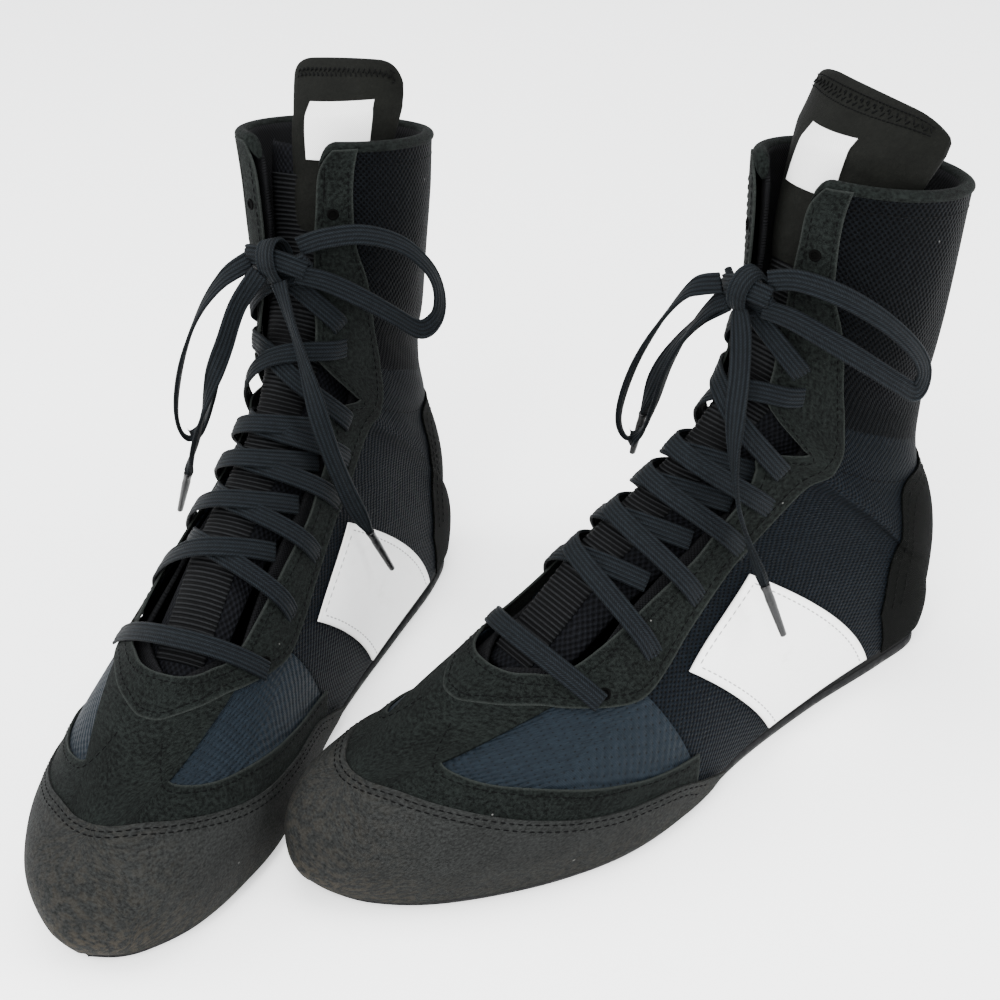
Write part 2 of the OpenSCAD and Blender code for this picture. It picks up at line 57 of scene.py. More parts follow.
ahead = Vector((math.cos(camera_heading) * math.cos(camera_dip),
                math.sin(camera_heading) * math.cos(camera_dip),
                -math.sin(camera_dip)))
level = Vector((math.sin(camera_heading), -math.cos(camera_heading), 0))
raised = level.cross(ahead)
across = level * math.cos(camera_roll) + raised * math.sin(camera_roll)
camera = bpy.data.objects.new("camera", bpy.data.cameras.new("camera"))
camera.matrix_world = Matrix.Translation(camera_place) @ Matrix(
    (across, across.cross(ahead), -ahead)).transposed().to_4x4()
camera.data.sensor_width = 36
camera.data.lens = 70.33
bpy.context.scene.collection.objects.link(camera)
bpy.context.scene.camera = camera

# --- Bows and lace ends ---
# Flat braided polyester laces, 8 mm wide, with five raised ribs. Each knot leaves two
# loops and two ends that hang down the ankle; the ends are gripped by plastic aglets.
boots = ("left", "right")
pair_shift = np.array([-184.6, 81.4, 0])
right_shift = np.array([132, -187, 0])
right_turn = math.radians(31.6)
ankle_pivot = np.array([48, 0, 120])
ankle_normal = np.array([-0.467, 0, 0.884])
leg_axis = np.array([38, 0, 0])
lace_width = 8
lace_thickness = 1.7
lace_ribs = 5
routes = {
    "left_bow_loop_medial": [
        (90, -10, 184), (96, -20, 180), (104, -27, 168), (112, -33, 152), (117, -37, 136),
        (119, -38, 124), (117, -36, 117), (112, -33, 119), (108, -30, 130), (103, -27, 146),
        (97, -21, 162), (92, -13, 174), (88, -8, 178)],
    "left_bow_loop_lateral": [
        (84, 10, 190), (79, 20, 192), (69, 31, 187), (57, 38, 177), (47, 42, 166), (40, 43, 156),
        (38, 43, 148), (42, 43, 143), (50, 42, 149), (61, 38, 159), (72, 31, 169), (81, 20, 177),
        (87, 10, 180)],
    "left_lace_end_medial": [
        (89, -8, 177), (91, -18, 168), (95, -28, 156), (98, -36, 143), (100, -42, 130), (101, -46, 118)],
    "left_lace_end_lateral": [
        (91, 2, 178), (94, 6, 168), (99, 11, 158), (105, 16, 146), (110, 21, 132), (113, 27, 114),
        (112, 33, 98), (110, 38, 84)],
    "right_bow_loop_medial": [
        (84, -10, 190), (80, -20, 193), (71, -32, 192), (60, -42, 184), (53, -49, 172), (50, -51, 160),
        (52, -50, 150), (59, -46, 147), (67, -39, 156), (75, -31, 166), (82, -20, 175), (88, -10, 180)],
    "right_bow_loop_lateral": [
        (90, 10, 184), (96, 19, 178), (102, 28, 166), (107, 36, 148), (110, 41, 130), (110, 43, 116),
        (107, 42, 108), (102, 38, 110), (99, 32, 122), (97, 26, 140), (94, 19, 158), (91, 13, 170),
        (88, 8, 177)],
    "right_lace_end_lateral": [
        (93, 4, 181), (98, 13, 168), (103, 19, 152), (108, 25, 136), (112, 30, 120), (114, 35, 106),
        (114, 39, 96)],
    "right_lace_end_medial": [
        (91, -3, 177), (95, -8, 166), (100, -14, 155), (105, -20, 142), (109, -25, 128), (111, -30, 112),
        (110, -35, 94), (106, -39, 78)],
}
route_twists = {
    "left_bow_loop_medial": 40, "left_bow_loop_lateral": -35, "left_lace_end_medial": 30,
    "left_lace_end_lateral": -55, "right_bow_loop_medial": 35, "right_bow_loop_lateral": -45,
    "right_lace_end_lateral": 60, "right_lace_end_medial": -40,
}
aglet_length = 22
aglet_gap = 0.3
aglet_root, aglet_tip = 0.0021, 0.0013
rolled_length = 15
rolled_width, rolled_thickness = 3.6, 3.4
weld = 1e-6


def stand(boot, points):
    """Points in a boot's own frame, in millimetres, as points of the pair, in metres."""
    p = np.array(points, float)
    if boot == "right":
        c, s = math.cos(right_turn), math.sin(right_turn)
        p = np.stack([c * p[..., 0] + s * p[..., 1], s * p[..., 0] - c * p[..., 1], p[..., 2]], -1)
        p = p + right_shift
    return (p + pair_shift) / 1000


def unit(v):
    return v / np.maximum(np.linalg.norm(v, axis=-1, keepdims=True), 1e-9)


def read(values, u):
    """A smooth curve through evenly spaced values, read at u."""
    values = np.array(values, float)
    u = np.asarray(u, float)
    i = np.clip(np.floor(u).astype(int), 0, len(values) - 2)
    a, b, c, d = (values[np.clip(i + k, 0, len(values) - 1)] for k in (-1, 0, 1, 2))
    t = (u - i).reshape(u.shape + (1,) * (values.ndim - 1))
    return 0.5 * (2 * b + (c - a) * t + (2 * a - 5 * b + 4 * c - d) * t ** 2
                  + (3 * b - a - 3 * c + d) * t ** 3)


def smooth_line(line, steps):
    """A line with steps points to each stretch between its own."""
    return read(line, np.linspace(0, len(line) - 1, (len(line) - 1) * steps + 1))


def spread(points):
    """How far along its column and its row each point of a grid lies."""
    down = np.linalg.norm(np.diff(points, axis=0), axis=-1)
    over = np.linalg.norm(np.diff(points, axis=1), axis=-1)
    down = np.broadcast_to(down.mean(1, keepdims=True), down.shape)
    down = np.vstack([np.zeros((1, points.shape[1])), np.cumsum(down, 0)])
    over = np.hstack([np.zeros((points.shape[0], 1)), np.cumsum(over, 1)])
    return np.stack([down, over - over[:, [points.shape[1] // 2]]], -1)


def cloth_grid(bm, points, uv=None, rim=None):
    """Adds a grid of cells to bm, moves it onto points (rows x columns x 3, in metres), and
    gives it UVs and a distance to its rim, both in metres."""
    rows, columns = points.shape[:2]
    layer = bm.loops.layers.uv.verify()
    edge = bm.verts.layers.float.get("rim") or bm.verts.layers.float.new("rim")
    made = bmesh.ops.create_grid(bm, x_segments=columns - 1, y_segments=rows - 1, size=1)["verts"]
    uv = spread(points) if uv is None else uv
    if rim is None:
        walk = spread(points)
        down, over = walk[..., 0], walk[..., 1] - walk[:, :1, 1]
        rim = np.minimum(np.minimum(down, down[-1:] - down), np.minimum(over, over[:, -1:] - over))
    for vert, co, near in zip(made, points.reshape(-1, 3), rim.reshape(-1)):
        vert.co = co
        vert[edge] = near
    place = {vert: pair for vert, pair in zip(made, uv.reshape(-1, 2))}
    for face in {f for vert in made for f in vert.link_faces}:
        for loop in face.loops:
            loop[layer].uv = place[loop.vert]
    return made


def new_piece(name, bm, material, smooth=True):
    """Turns a finished bmesh into an object at the origin."""
    mesh = bpy.data.meshes.new(name)
    for face in bm.faces:
        face.smooth = smooth
    bm.to_mesh(mesh)
    bm.free()
    mesh.materials.append(material)
    piece = bpy.data.objects.new(name, mesh)
    bpy.context.scene.collection.objects.link(piece)
    return piece


def bend_at_ankle(piece):
    """Bakes the piece's placement into its mesh and returns it; the piece is not bent at the ankle."""
    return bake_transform(piece)


def node(tree, kind, inputs=(), **settings):
    """A shader node with its inputs set or linked."""
    made = tree.nodes.new("ShaderNode" + kind)
    for key, value in settings.items():
        setattr(made, key, value)
    for key, value in dict(inputs).items():
        if isinstance(value, bpy.types.NodeSocket):
            tree.links.new(value, made.inputs[key])
        else:
            made.inputs[key].default_value = value
    return made


def maths(tree, operation, *values):
    return node(tree, "Math", enumerate(values), operation=operation).outputs[0]


def between(tree, share, first, second):
    """A colour from first at share 0 to second at share 1."""
    made = node(tree, "Mix", {0: share, 6: first, 7: second}, data_type="RGBA")
    return made.outputs[2]


def fade(tree, value, low, high, out_low=0.0, out_high=1.0):
    """A smooth step from out_low to out_high as value goes from low to high."""
    return node(tree, "MapRange", {0: value, 1: low, 2: high, 3: out_low, 4: out_high},
                interpolation_type="SMOOTHSTEP").outputs[0]


def new_group(name, inputs, outputs):
    """A node group: inputs maps a name to Float, Vector or Color, outputs the same."""
    tree = bpy.data.node_groups.new(name, "ShaderNodeTree")
    for key, kind in inputs.items():
        tree.interface.new_socket(key, in_out="INPUT", socket_type="NodeSocket" + kind)
    for key, kind in outputs.items():
        tree.interface.new_socket(key, in_out="OUTPUT", socket_type="NodeSocket" + kind)
    return tree, tree.nodes.new("NodeGroupInput").outputs, tree.nodes.new("NodeGroupOutput").inputs


def use(tree, group, **inputs):
    """A node group placed in a material with its own values; its outputs are returned."""
    made = tree.nodes.new("ShaderNodeGroup")
    made.node_tree = group
    for key, value in inputs.items():
        socket = made.inputs[key.replace("_", " ")]
        if isinstance(value, bpy.types.NodeSocket):
            tree.links.new(value, socket)
        else:
            socket.default_value = value
    return made.outputs


def new_material(name, **sockets):
    """A material, its node tree, its shader's inputs and its UVs; sockets are constants."""
    material = bpy.data.materials.new(name)
    material.use_nodes = True
    tree = material.node_tree
    shader = tree.nodes["Principled BSDF"].inputs
    for key, value in sockets.items():
        shader[key.replace("_", " ").title().replace("Ior", "IOR")].default_value = value
    return material, tree, shader, node(tree, "TexCoord").outputs["UV"]


def bump(tree, shader, height, distance):
    """Raises the surface by up to distance, in metres, where height is 1."""
    made = node(tree, "Bump", {"Height": height, "Distance": distance})
    tree.links.new(made.outputs[0], shader["Normal"])


def times(tree, first, second):
    return maths(tree, "MULTIPLY", first, second)


def plus(tree, first, second):
    return maths(tree, "ADD", first, second)


def paint(tree, shader, share, first, second):
    """Colours a material from first at share 0 to second at share 1."""
    tree.links.new(between(tree, share, first, second), shader["Base Color"])


def solid(tree):
    """Object coordinates, for pieces without UVs."""
    return node(tree, "TexCoord").outputs["Object"]


def grey(value):
    return value, value, value, 1


# Fine fibres: two sizes of noise, one for shade and one for height.
fibres, given, give = new_group(
    "fibres", {"Vector": "Vector", "Size": "Float"}, {"Shade": "Float", "Height": "Float"})
fibre_rate = maths(fibres, "DIVIDE", 1.0, given["Size"])
coarse = node(fibres, "TexNoise", {
    "Vector": given["Vector"], "Scale": fibre_rate, "Detail": 5.0, "Roughness": 0.7})
fine_rate = times(fibres, fibre_rate, 4.0)
fine = node(fibres, "TexNoise", {"Vector": given["Vector"], "Scale": fine_rate, "Detail": 3.0})
fibres.links.new(coarse.outputs[0], give["Shade"])
fibres.links.new(fine.outputs[0], give["Height"])

# Lint: a pale speck in a few cells of a jittered lattice.
lint, given, give = new_group(
    "lint", {"Vector": "Vector", "Spacing": "Float", "Share": "Float"}, {"Specks": "Float"})
lint_rate = maths(lint, "DIVIDE", 1.0, given["Spacing"])
lint_cell = node(lint, "TexVoronoi", {"Vector": given["Vector"], "Scale": lint_rate})
lint_near = fade(lint, lint_cell.outputs["Distance"], 0.10, 0.04)
lint_pick = node(lint, "SeparateColor", {0: lint_cell.outputs["Color"]}).outputs[0]
lint_chosen = maths(lint, "LESS_THAN", lint_pick, given["Share"])
lint.links.new(times(lint, lint_near, lint_chosen), give["Specks"])

lace_braid, tree, shader, uv = new_material(
    "lace_braid", roughness=0.7, specular_ior_level=0.06, sheen_weight=0.006)
split_uv = node(tree, "SeparateXYZ", {0: uv}).outputs
rib_rate = lace_ribs * math.pi / (lace_width / 2000)
rib_crest = fade(tree, maths(tree, "COSINE", times(tree, split_uv[1], rib_rate)), -0.9, 0.6)
slant = plus(tree, split_uv[0], maths(tree, "ABSOLUTE", split_uv[1]))
twill = maths(tree, "SINE", times(tree, slant, 2 * math.pi / 0.0011))
yarn = fade(tree, twill, -0.6, 0.8)
fuzz = use(tree, fibres, Vector=uv, Size=0.002)
specks = use(tree, lint, Vector=uv, Spacing=0.004, Share=0.05)["Specks"]
# Painted shade: the yarn's colour darkens in the grooves between the ribs and between the slanted yarns.
lit_yarn = times(tree, maths(tree, "MULTIPLY_ADD", rib_crest, 0.6, 0.4),
                 maths(tree, "MULTIPLY_ADD", yarn, 0.55, 0.45))
yarn_colour = between(tree, times(tree, lit_yarn, fuzz["Shade"]),
                      (0.0003, 0.0004, 0.0005, 1), (0.0110, 0.0150, 0.0190, 1))
paint(tree, shader, specks, yarn_colour, (0.08, 0.08, 0.075, 1))
bump(tree, shader, plus(tree, times(tree, yarn, 0.5), rib_crest), 0.0003)

aglet_plastic, tree, shader, uv = new_material("aglet_plastic", roughness=0.34, specular_ior_level=0.35)
scrape = use(tree, fibres, Vector=solid(tree), Size=0.006)
paint(tree, shader, fade(tree, scrape["Shade"], 0.5, 0.75), (0.002, 0.002, 0.0023, 1),
      (0.012, 0.012, 0.013, 1))
tree.links.new(fade(tree, scrape["Shade"], 0.4, 0.7, 0.25, 0.5), shader["Roughness"])
bump(tree, shader, scrape["Height"], 0.0001)


def lace_skin(bm, boot, centres, flats, width=lace_width, thickness=lace_thickness, rolled=False):
    """A flat ribbed lace along centres, in mm, whose broad side faces flats; returns its path.
    A rolled lace is gathered at its far end, where it goes into the aglet."""
    around = 44
    turn = np.linspace(0, 2 * math.pi, around + 1)
    side = np.sign(np.cos(turn)) * np.abs(np.cos(turn)) ** 0.6
    lift = np.sign(np.sin(turn)) * np.abs(np.sin(turn)) ** 0.5
    ribs = 0.78 + 0.22 * np.cos(lace_ribs * math.pi * side)
    along = unit(np.gradient(centres, axis=0))
    flats = unit(flats - along * np.sum(flats * along, -1, keepdims=True))
    wide = np.cross(along, flats)
    travelled = np.concatenate([[0], np.cumsum(np.linalg.norm(np.diff(centres, axis=0), axis=1))])
    near_end = (travelled - travelled[-1] + rolled_length + 1) / rolled_length
    gather = np.clip(near_end, 0, 1)[:, None] ** 2 * float(rolled)
    half_width = (width + (rolled_width - width) * gather) / 2
    half_thickness = (thickness + (rolled_thickness - thickness) * gather) / 2
    points = (centres[:, None] + wide[:, None] * (side * half_width)[..., None]
              + flats[:, None] * (lift * ribs * half_thickness)[..., None])
    uv = np.stack(np.broadcast_arrays(travelled[:, None], side[None] * width / 2), -1) / 1000
    cloth_grid(bm, stand(boot, points), uv, np.ones(points.shape[:2]))
    return stand(boot, centres)


def close_lace(bm):
    """Closes the seam along each lace and its two ends, and turns all faces outwards."""
    bmesh.ops.remove_doubles(bm, verts=bm.verts, dist=weld)
    bmesh.ops.holes_fill(bm, edges=[e for e in bm.edges if e.is_boundary], sides=0)
    bmesh.ops.recalc_face_normals(bm, faces=bm.faces)


for boot in boots:
    for part in ("bow_loop_medial", "bow_loop_lateral", "lace_end_medial", "lace_end_lateral"):
        name = f"{boot}_{part}"
        centres = smooth_line(routes[name], 12)
        way = np.linspace(0, 1, len(centres))[:, None]
        outward = unit((centres - leg_axis) * np.array([1, 1, 0]))
        along = unit(np.gradient(centres, axis=0))
        outward = unit(outward - along * np.sum(outward * along, -1, keepdims=True))
        twist = math.radians(route_twists[name]) * np.sin(way * 2 * math.pi)
        flats = outward * np.cos(twist) + np.cross(along, outward) * np.sin(twist)
        bm = bmesh.new()
        path = lace_skin(bm, boot, centres, flats, rolled="end" in part)
        close_lace(bm)
        lace = new_piece(f"{name}_lace", bm, lace_braid)
        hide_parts(name)
        if "end" in part:
            tip_start = centres[-1] + along[-1] * aglet_gap
            tip = bmesh.new()
            bmesh.ops.create_cone(
                tip, cap_ends=True, segments=20, radius1=aglet_root, radius2=aglet_tip,
                depth=aglet_length / 1000, matrix=Matrix.Translation((0, 0, aglet_length / 2000)))
            sides = [e for e in tip.edges if abs(e.verts[0].co.z - e.verts[1].co.z) > 0.01]
            bmesh.ops.subdivide_edges(tip, edges=sides, cuts=10)
            for vert in tip.verts:
                crimp = 0.9 if round(vert.co.z * 1000) in (2, 4) else 1.0
                vert.co.x *= crimp * 1.08
                vert.co.y *= crimp * 0.9
            rims = [e for e in tip.edges if e.calc_face_angle(0) > 0.9]
            bmesh.ops.bevel(tip, geom=rims, offset=0.0004, offset_type="OFFSET", affect="EDGES",
                            segments=3, profile=0.5, material=-1)
            start, end = stand(boot, [tip_start, tip_start + along[-1] * aglet_length])
            aim = Vector(end - start).to_track_quat("Z", "Y").to_matrix().to_4x4()
            bmesh.ops.transform(tip, matrix=Matrix.Translation(start) @ aim, verts=tip.verts)
            aglet = new_piece(name.replace("lace_end", "aglet"), tip, aglet_plastic)
            if part == "lace_end_medial":
                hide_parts(f"{boot}_aglets")
            bend_at_ankle(aglet)
        bend_at_ankle(lace)

# --- Knots ---
# The same lace, pulled tight: two strands run across the front of the ankle, and one
# strand is wrapped round them and tucked in.
knot_centre = np.array([85, 0, 183])
bar_thickness = 3.4
wrap_width, wrap_girth = 9, 2.4

for boot in boots:
    bm = bmesh.new()
    for height, sway in ((-2.6, -1.2), (2.6, 1.2)):
        t = np.linspace(-1, 1, 40)
        arch = 1 - t ** 2
        bar = knot_centre + np.stack([2.5 * arch + sway, 13 * t, height * arch + 1.6 * sway * t], -1)
        facing = np.broadcast_to([1, 0, 0.5 * np.sign(height)], bar.shape)
        lace_skin(bm, boot, bar, facing, thickness=bar_thickness)
    turn = np.linspace(0, 2 * math.pi, 60)
    c, s = np.cos(turn), np.sin(turn)
    wrap = knot_centre + np.stack([6.4 * c + 0.8, 1.4 * s + 1.0, 8.2 * s], -1)
    lace_skin(bm, boot, wrap, wrap - knot_centre, width=wrap_width, thickness=wrap_girth)
    close_lace(bm)
    knot = new_piece(f"{boot}_knot", bm, lace_braid)
    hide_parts(f"{boot}_lace_knot")
    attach(knot, f"{boot}_shaft")

# --- Forefoot mesh ---
# Padded sandwich mesh in navy and black over the toes, pulled over the last, with small
# round holes. The upper's form is set here, and the other panels lie on it.
ridge_x = (287, 291, 288, 279, 263, 240, 214, 188, 164, 143, 126, 112, 103, 94, 88, 82, 77, 73, 70)
ridge_z = (6, 16, 28, 37, 44, 51, 65, 82, 100, 112, 122, 132, 141, 149, 157, 168, 182, 203, 226)
edge_x = (287, 283, 275, 260, 239, 213, 185, 155, 118, 75, 34, 10, 1, -4, -1, 7, 4, -3, -10)
edge_z = (6, 6, 6, 6, 6, 6, 6, 6, 7, 8, 9, 10, 11, 40, 70, 98, 126, 165, 206)
edge_out = (-10, 1, 13, 26, 37, 46, 50, 46, 34, 26, 22, 17, 0, 0, 0, 0, 0, 0, 0)
edge_in = (10, 22, 31, 40, 45, 46, 41, 34, 30, 28, 26, 19, 0, 0, 0, 0, 0, 0, 0)
crown_out = (1, 8, 16, 24, 31, 35, 35, 32, 30, 29, 28, 28, 29, 32, 35, 37, 41, 47, 50)
crown_in = (1, 8, 15, 23, 28, 31, 30, 27, 26, 27, 27, 28, 29, 32, 35, 37, 41, 47, 50)
side_y = (1, 2, 3, 3, 3, 3, 3, 5, 8, 9, 9, 15, 42, 39, 37, 35, 41, 47, 50)
side_z = (1, 6, 14, 20, 24, 27, 32, 38, 46, 52, 56, 50, 32, 8, 2, 0, 0, 0, 0)
side_x = (0, 3, 4, 4, 3, 2, 2, 2, 2, 2, 2, -4, -6, 0, 2, 2, 0, 0, 0)
# Worn-in folds on both sides: station and share at each end, depth, and width in stations.
folds = (
    (12.5, 0.42, 15.1, 0.97, -2.0, 0.34), (13.5, 0.40, 16.0, 0.86, 0.9, 0.50),
    (14.9, 0.50, 16.3, 0.97, -1.1, 0.30), (15.6, 0.62, 17.6, 0.70, -0.8, 0.35),
    (16.4, 0.84, 17.9, 0.90, -0.7, 0.40), (9.6, 0.58, 11.4, 0.66, -0.7, 0.35),
    (5.4, 0.62, 7.0, 0.80, -0.5, 0.30), (6.6, 0.50, 8.0, 0.85, 0.5, 0.50),
)
fold_share = 4.5
edge_limit = 0.985


def upper(u, v):
    """The upper's face: u runs from the toe, 0, to the collar, 18, and v from the inner
    side's edge, -1, over the ridge to the outer side's, 1. In mm, in the boot's frame."""
    u, v = np.broadcast_arrays(np.asarray(u, float), np.asarray(v, float))
    inner, side, t = v < 0, np.where(v < 0, -1.0, 1.0), np.abs(v)
    r = 1 - t
    ridge = np.stack([read(ridge_x, u), -10 * np.clip((13 - u) / 11, 0, 1), read(ridge_z, u)], -1)
    edge = np.stack([read(edge_x, u), side * np.where(inner, read(edge_in, u), read(edge_out, u)),
                     read(edge_z, u)], -1)
    crown = side * np.where(inner, read(crown_in, u), read(crown_out, u))
    shoulder = ridge + np.stack([0 * u, crown, 0 * u], -1)
    wall = edge + np.stack([read(side_x, u), side * read(side_y, u), read(side_z, u)], -1)
    shares = np.stack([r ** 3, 3 * r * r * t, 3 * r * t * t, t ** 3])[..., None]
    return (shares * np.stack([ridge, shoulder, wall, edge])).sum(0)


def relief(u, v):
    """How far the folds and a slight unevenness lift or sink the upper at u, v."""
    share = np.abs(v) * fold_share
    lifted = 0.22 * np.sin(2.3 * u + 3.1 * v) * np.sin(1.7 * u - 5.3 * v + 1)
    for u0, v0, u1, v1, depth, width in folds:
        start, run = np.array([u0, v0 * fold_share]), np.array([u1 - u0, (v1 - v0) * fold_share])
        way = np.clip(((u - start[0]) * run[0] + (share - start[1]) * run[1]) / run.dot(run), 0, 1)
        gap = np.hypot(u - start[0] - way * run[0], share - start[1] - way * run[1])
        run_out = np.sin(math.pi * np.clip(way, 0.12, 0.88))
        lifted = lifted + depth * np.exp(-(gap / width) ** 2) * run_out
    return lifted


def normal_at(form, u, v):
    inside = np.clip(v, -edge_limit, edge_limit)
    down = form(u + 0.02, v) - form(u - 0.02, v)
    over = form(u, inside + 0.01) - form(u, inside - 0.01)
    return unit(np.cross(over, down))


def skin(u, v, height):
    """Points at a height, in mm, over the upper."""
    u, v = np.broadcast_arrays(np.asarray(u, float), np.asarray(v, float))
    return upper(u, v) + normal_at(upper, u, v) * np.expand_dims(height + relief(u, v), -1)


def face_out(bm, boot, u, v):
    """Turns the faces of a panel so that they point away from the foot."""
    bm.normal_update()
    away = stand(boot, skin(u, v, 10)) - stand(boot, skin(u, v, 0))
    here = Vector(stand(boot, skin(u, v, 0)))
    nearest = min(bm.faces, key=lambda face: (face.calc_center_median() - here).length)
    if nearest.normal.dot(Vector(away)) < 0:
        bmesh.ops.reverse_faces(bm, faces=bm.faces)


def stiffen(piece, thickness, edge=0.2):
    """Gives a panel its thickness, in mm, outwards, and rounds its cut edges."""
    wall = piece.modifiers.new("thickness", "SOLIDIFY")
    wall.thickness = thickness / 1000
    wall.offset = 1
    if edge:
        cut = piece.modifiers.new("cut edge", "BEVEL")
        cut.width = edge / 1000
        cut.segments = 2
        cut.limit_method = "ANGLE"
        cut.angle_limit = math.radians(50)
    return piece


# Pierced mesh: a lattice of holes turned by 45 degrees; each hole may be drawn out.
pierced, given, give = new_group(
    "pierced", {"Vector": "Vector", "Pitch": "Float", "Stretch": "Float", "Hole": "Float"},
    {"Holes": "Float", "Height": "Float"})
place_uv = node(pierced, "SeparateXYZ", {0: given["Vector"]}).outputs
sway = node(pierced, "TexNoise", {"Vector": given["Vector"], "Scale": 90.0}).outputs[0]
step_x = plus(pierced, maths(pierced, "DIVIDE", place_uv[0], given["Pitch"]), times(pierced, sway, 0.8))
step_y = maths(pierced, "DIVIDE", place_uv[1], times(pierced, given["Pitch"], given["Stretch"]))
first = maths(pierced, "COSINE", times(pierced, step_x, 2 * math.pi))
second = maths(pierced, "COSINE", times(pierced, step_y, 2 * math.pi))
lattice = times(pierced, plus(pierced, times(pierced, first, second), 1.0), 0.5)
pierced.links.new(fade(pierced, lattice, maths(pierced, "SUBTRACT", 1.0, given["Hole"]),
                       maths(pierced, "SUBTRACT", 1.12, given["Hole"])), give["Holes"])
pierced.links.new(maths(pierced, "SUBTRACT", 1.0, lattice), give["Height"])

knit_pitch = 0.0007


def wave_across(tree, uv, pitch):
    """A wave over the fabric's first direction, with its pitch in metres."""
    along = node(tree, "SeparateXYZ", {0: uv}).outputs[0]
    return maths(tree, "SINE", times(tree, along, 2 * math.pi / pitch))


def mesh_fabric(name, pitch, stretch, hole, yarn_dark, yarn_light, gloss):
    """Sandwich mesh: holes painted near black, as painted shade over a dark backing; yarn between,
    which is painted darker in the knit's troughs; and a little lint.
    """
    material, tree, shader, uv = new_material(
        name, roughness=0.65, specular_ior_level=gloss, sheen_weight=0.1 * gloss)
    weave = use(tree, pierced, Vector=uv, Pitch=pitch, Stretch=stretch, Hole=hole)
    yarns = use(tree, fibres, Vector=uv, Size=0.004)
    knit = fade(tree, wave_across(tree, uv, knit_pitch), -1.0, 1.0)
    lit = times(tree, yarns["Shade"], plus(tree, times(tree, knit, 0.5), 0.6))
    thread = between(tree, lit, yarn_dark, yarn_light)
    # Painted shade: the holes are painted near black.
    pitted = between(tree, weave["Holes"], thread, (0.0003, 0.0003, 0.0004, 1))
    specks = use(tree, lint, Vector=uv, Spacing=0.006, Share=0.03)["Specks"]
    paint(tree, shader, specks, pitted, grey(0.07))
    bump(tree, shader, plus(tree, weave["Height"], times(tree, knit, 0.12)), 0.0008)
    return material


forefoot_fabric = mesh_fabric("forefoot_fabric", 0.0040, 1.1, 0.12, (0.0012, 0.0021, 0.0032, 1),
                              (0.0090, 0.0150, 0.0215, 1), gloss=0.07)
mesh_thickness = 0.8

for boot in boots:
    rows = np.linspace(0, 1, 70)[:, None]
    v = np.linspace(-1, 1, 120)[None, :]
    throat = 6.25 + 1.05 * np.clip((np.abs(v) - 0.25) / 0.3, 0, 1)
    u = 3.3 + (throat - 3.3) * rows
    bm = bmesh.new()
    cloth_grid(bm, stand(boot, skin(u, np.broadcast_to(v, u.shape), -mesh_thickness / 2)))
    face_out(bm, boot, 5.0, 0.3)
    forefoot = stiffen(new_piece(f"{boot}_forefoot_fabric", bm, forefoot_fabric), mesh_thickness, 0)
    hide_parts(f"{boot}_forefoot_mesh")
    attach(forefoot, f"{boot}_foot")

# --- Quarter and shaft mesh ---
# The same mesh round the heel and the leg, in one piece with a back seam. It is knitted in
# rows of short dashes below the ankle and in coarse diamonds above it.
quarter_fabric = mesh_fabric("quarter_fabric", 0.0030, 0.8, 0.36, (0.0002, 0.0003, 0.0005, 1),
                             (0.0050, 0.0078, 0.0115, 1), gloss=0.03)
shaft_fabric = mesh_fabric("shaft_fabric", 0.0032, 0.75, 0.45, (0.0001, 0.0001, 0.0002, 1),
                           (0.0045, 0.0056, 0.0070, 1), gloss=0.02)
collar_line = 17.93
back_weld = 4e-4


def lay_sides(bm, boot, u, v, height, floor_at=None):
    """Lays one grid on each side of the boot and joins them where they meet at the back."""
    for side in (1, -1):
        points = skin(u, side * v, height)
        if floor_at is not None:
            points[..., 2] = np.maximum(points[..., 2], floor_at)
        fresh = cloth_grid(bm, stand(boot, points))
        if (side < 0) != (boot == "right"):
            bmesh.ops.reverse_faces(bm, faces=list({f for vert in fresh for f in vert.link_faces}))
    bmesh.ops.remove_doubles(bm, verts=bm.verts, dist=back_weld)


for boot in boots:
    bm = bmesh.new()
    u = np.linspace(7.2, collar_line, 190)[:, None]
    front = np.interp(u, [7.2, 9, 13.5, 16.5, 18], [0.41, 0.37, 0.33, 0.16, 0.16])
    v = front + (1 - front) * np.linspace(0, 1, 80)[None, :]
    lay_sides(bm, boot, np.broadcast_to(u, v.shape), v, 0.05 - mesh_thickness / 2)
    face_out(bm, boot, 16.0, 0.6)
    ankle_plane = Vector(stand(boot, ankle_pivot))
    up = Vector(stand(boot, ankle_pivot + ankle_normal) - stand(boot, ankle_pivot))
    for face in bm.faces:
        face.material_index = int((face.calc_center_median() - ankle_plane).dot(up) > 0)
    quarter = new_piece(f"{boot}_upper_mesh", bm, quarter_fabric)
    quarter.data.materials.append(shaft_fabric)
    stiffen(quarter, mesh_thickness, 0)
    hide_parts(f"{boot}_quarter_mesh", f"{boot}_ankle_panel", f"{boot}_shaft_mesh")
    bend_at_ankle(quarter)

# --- Lining and heel stiffener ---
# Foam-backed knitted lining, glued in before the collar is bound, and a thin thermoplastic
# stiffener between lining and mesh round the heel.
lining_height = -4.7
lining_thickness = 1.7

lining_knit, tree, shader, uv = new_material("lining_knit", roughness=0.9, specular_ior_level=0.1)
loops = use(tree, pierced, Vector=uv, Pitch=0.0016, Stretch=1.0, Hole=0.3)
wear = use(tree, fibres, Vector=uv, Size=0.03)
# Painted shade: the knit's colour darkens in the holes between its loops.
paint(tree, shader, times(tree, loops["Height"], wear["Shade"]), (0.0006, 0.0006, 0.0008, 1),
      (0.007, 0.0074, 0.0085, 1))
bump(tree, shader, loops["Height"], 0.0003)

stiffener_plastic, tree, shader, uv = new_material("stiffener_plastic", roughness=0.6)
grain = use(tree, fibres, Vector=uv, Size=0.002)
paint(tree, shader, grain["Shade"], (0.25, 0.24, 0.22, 1), (0.4, 0.39, 0.36, 1))
bump(tree, shader, grain["Height"], 0.0001)


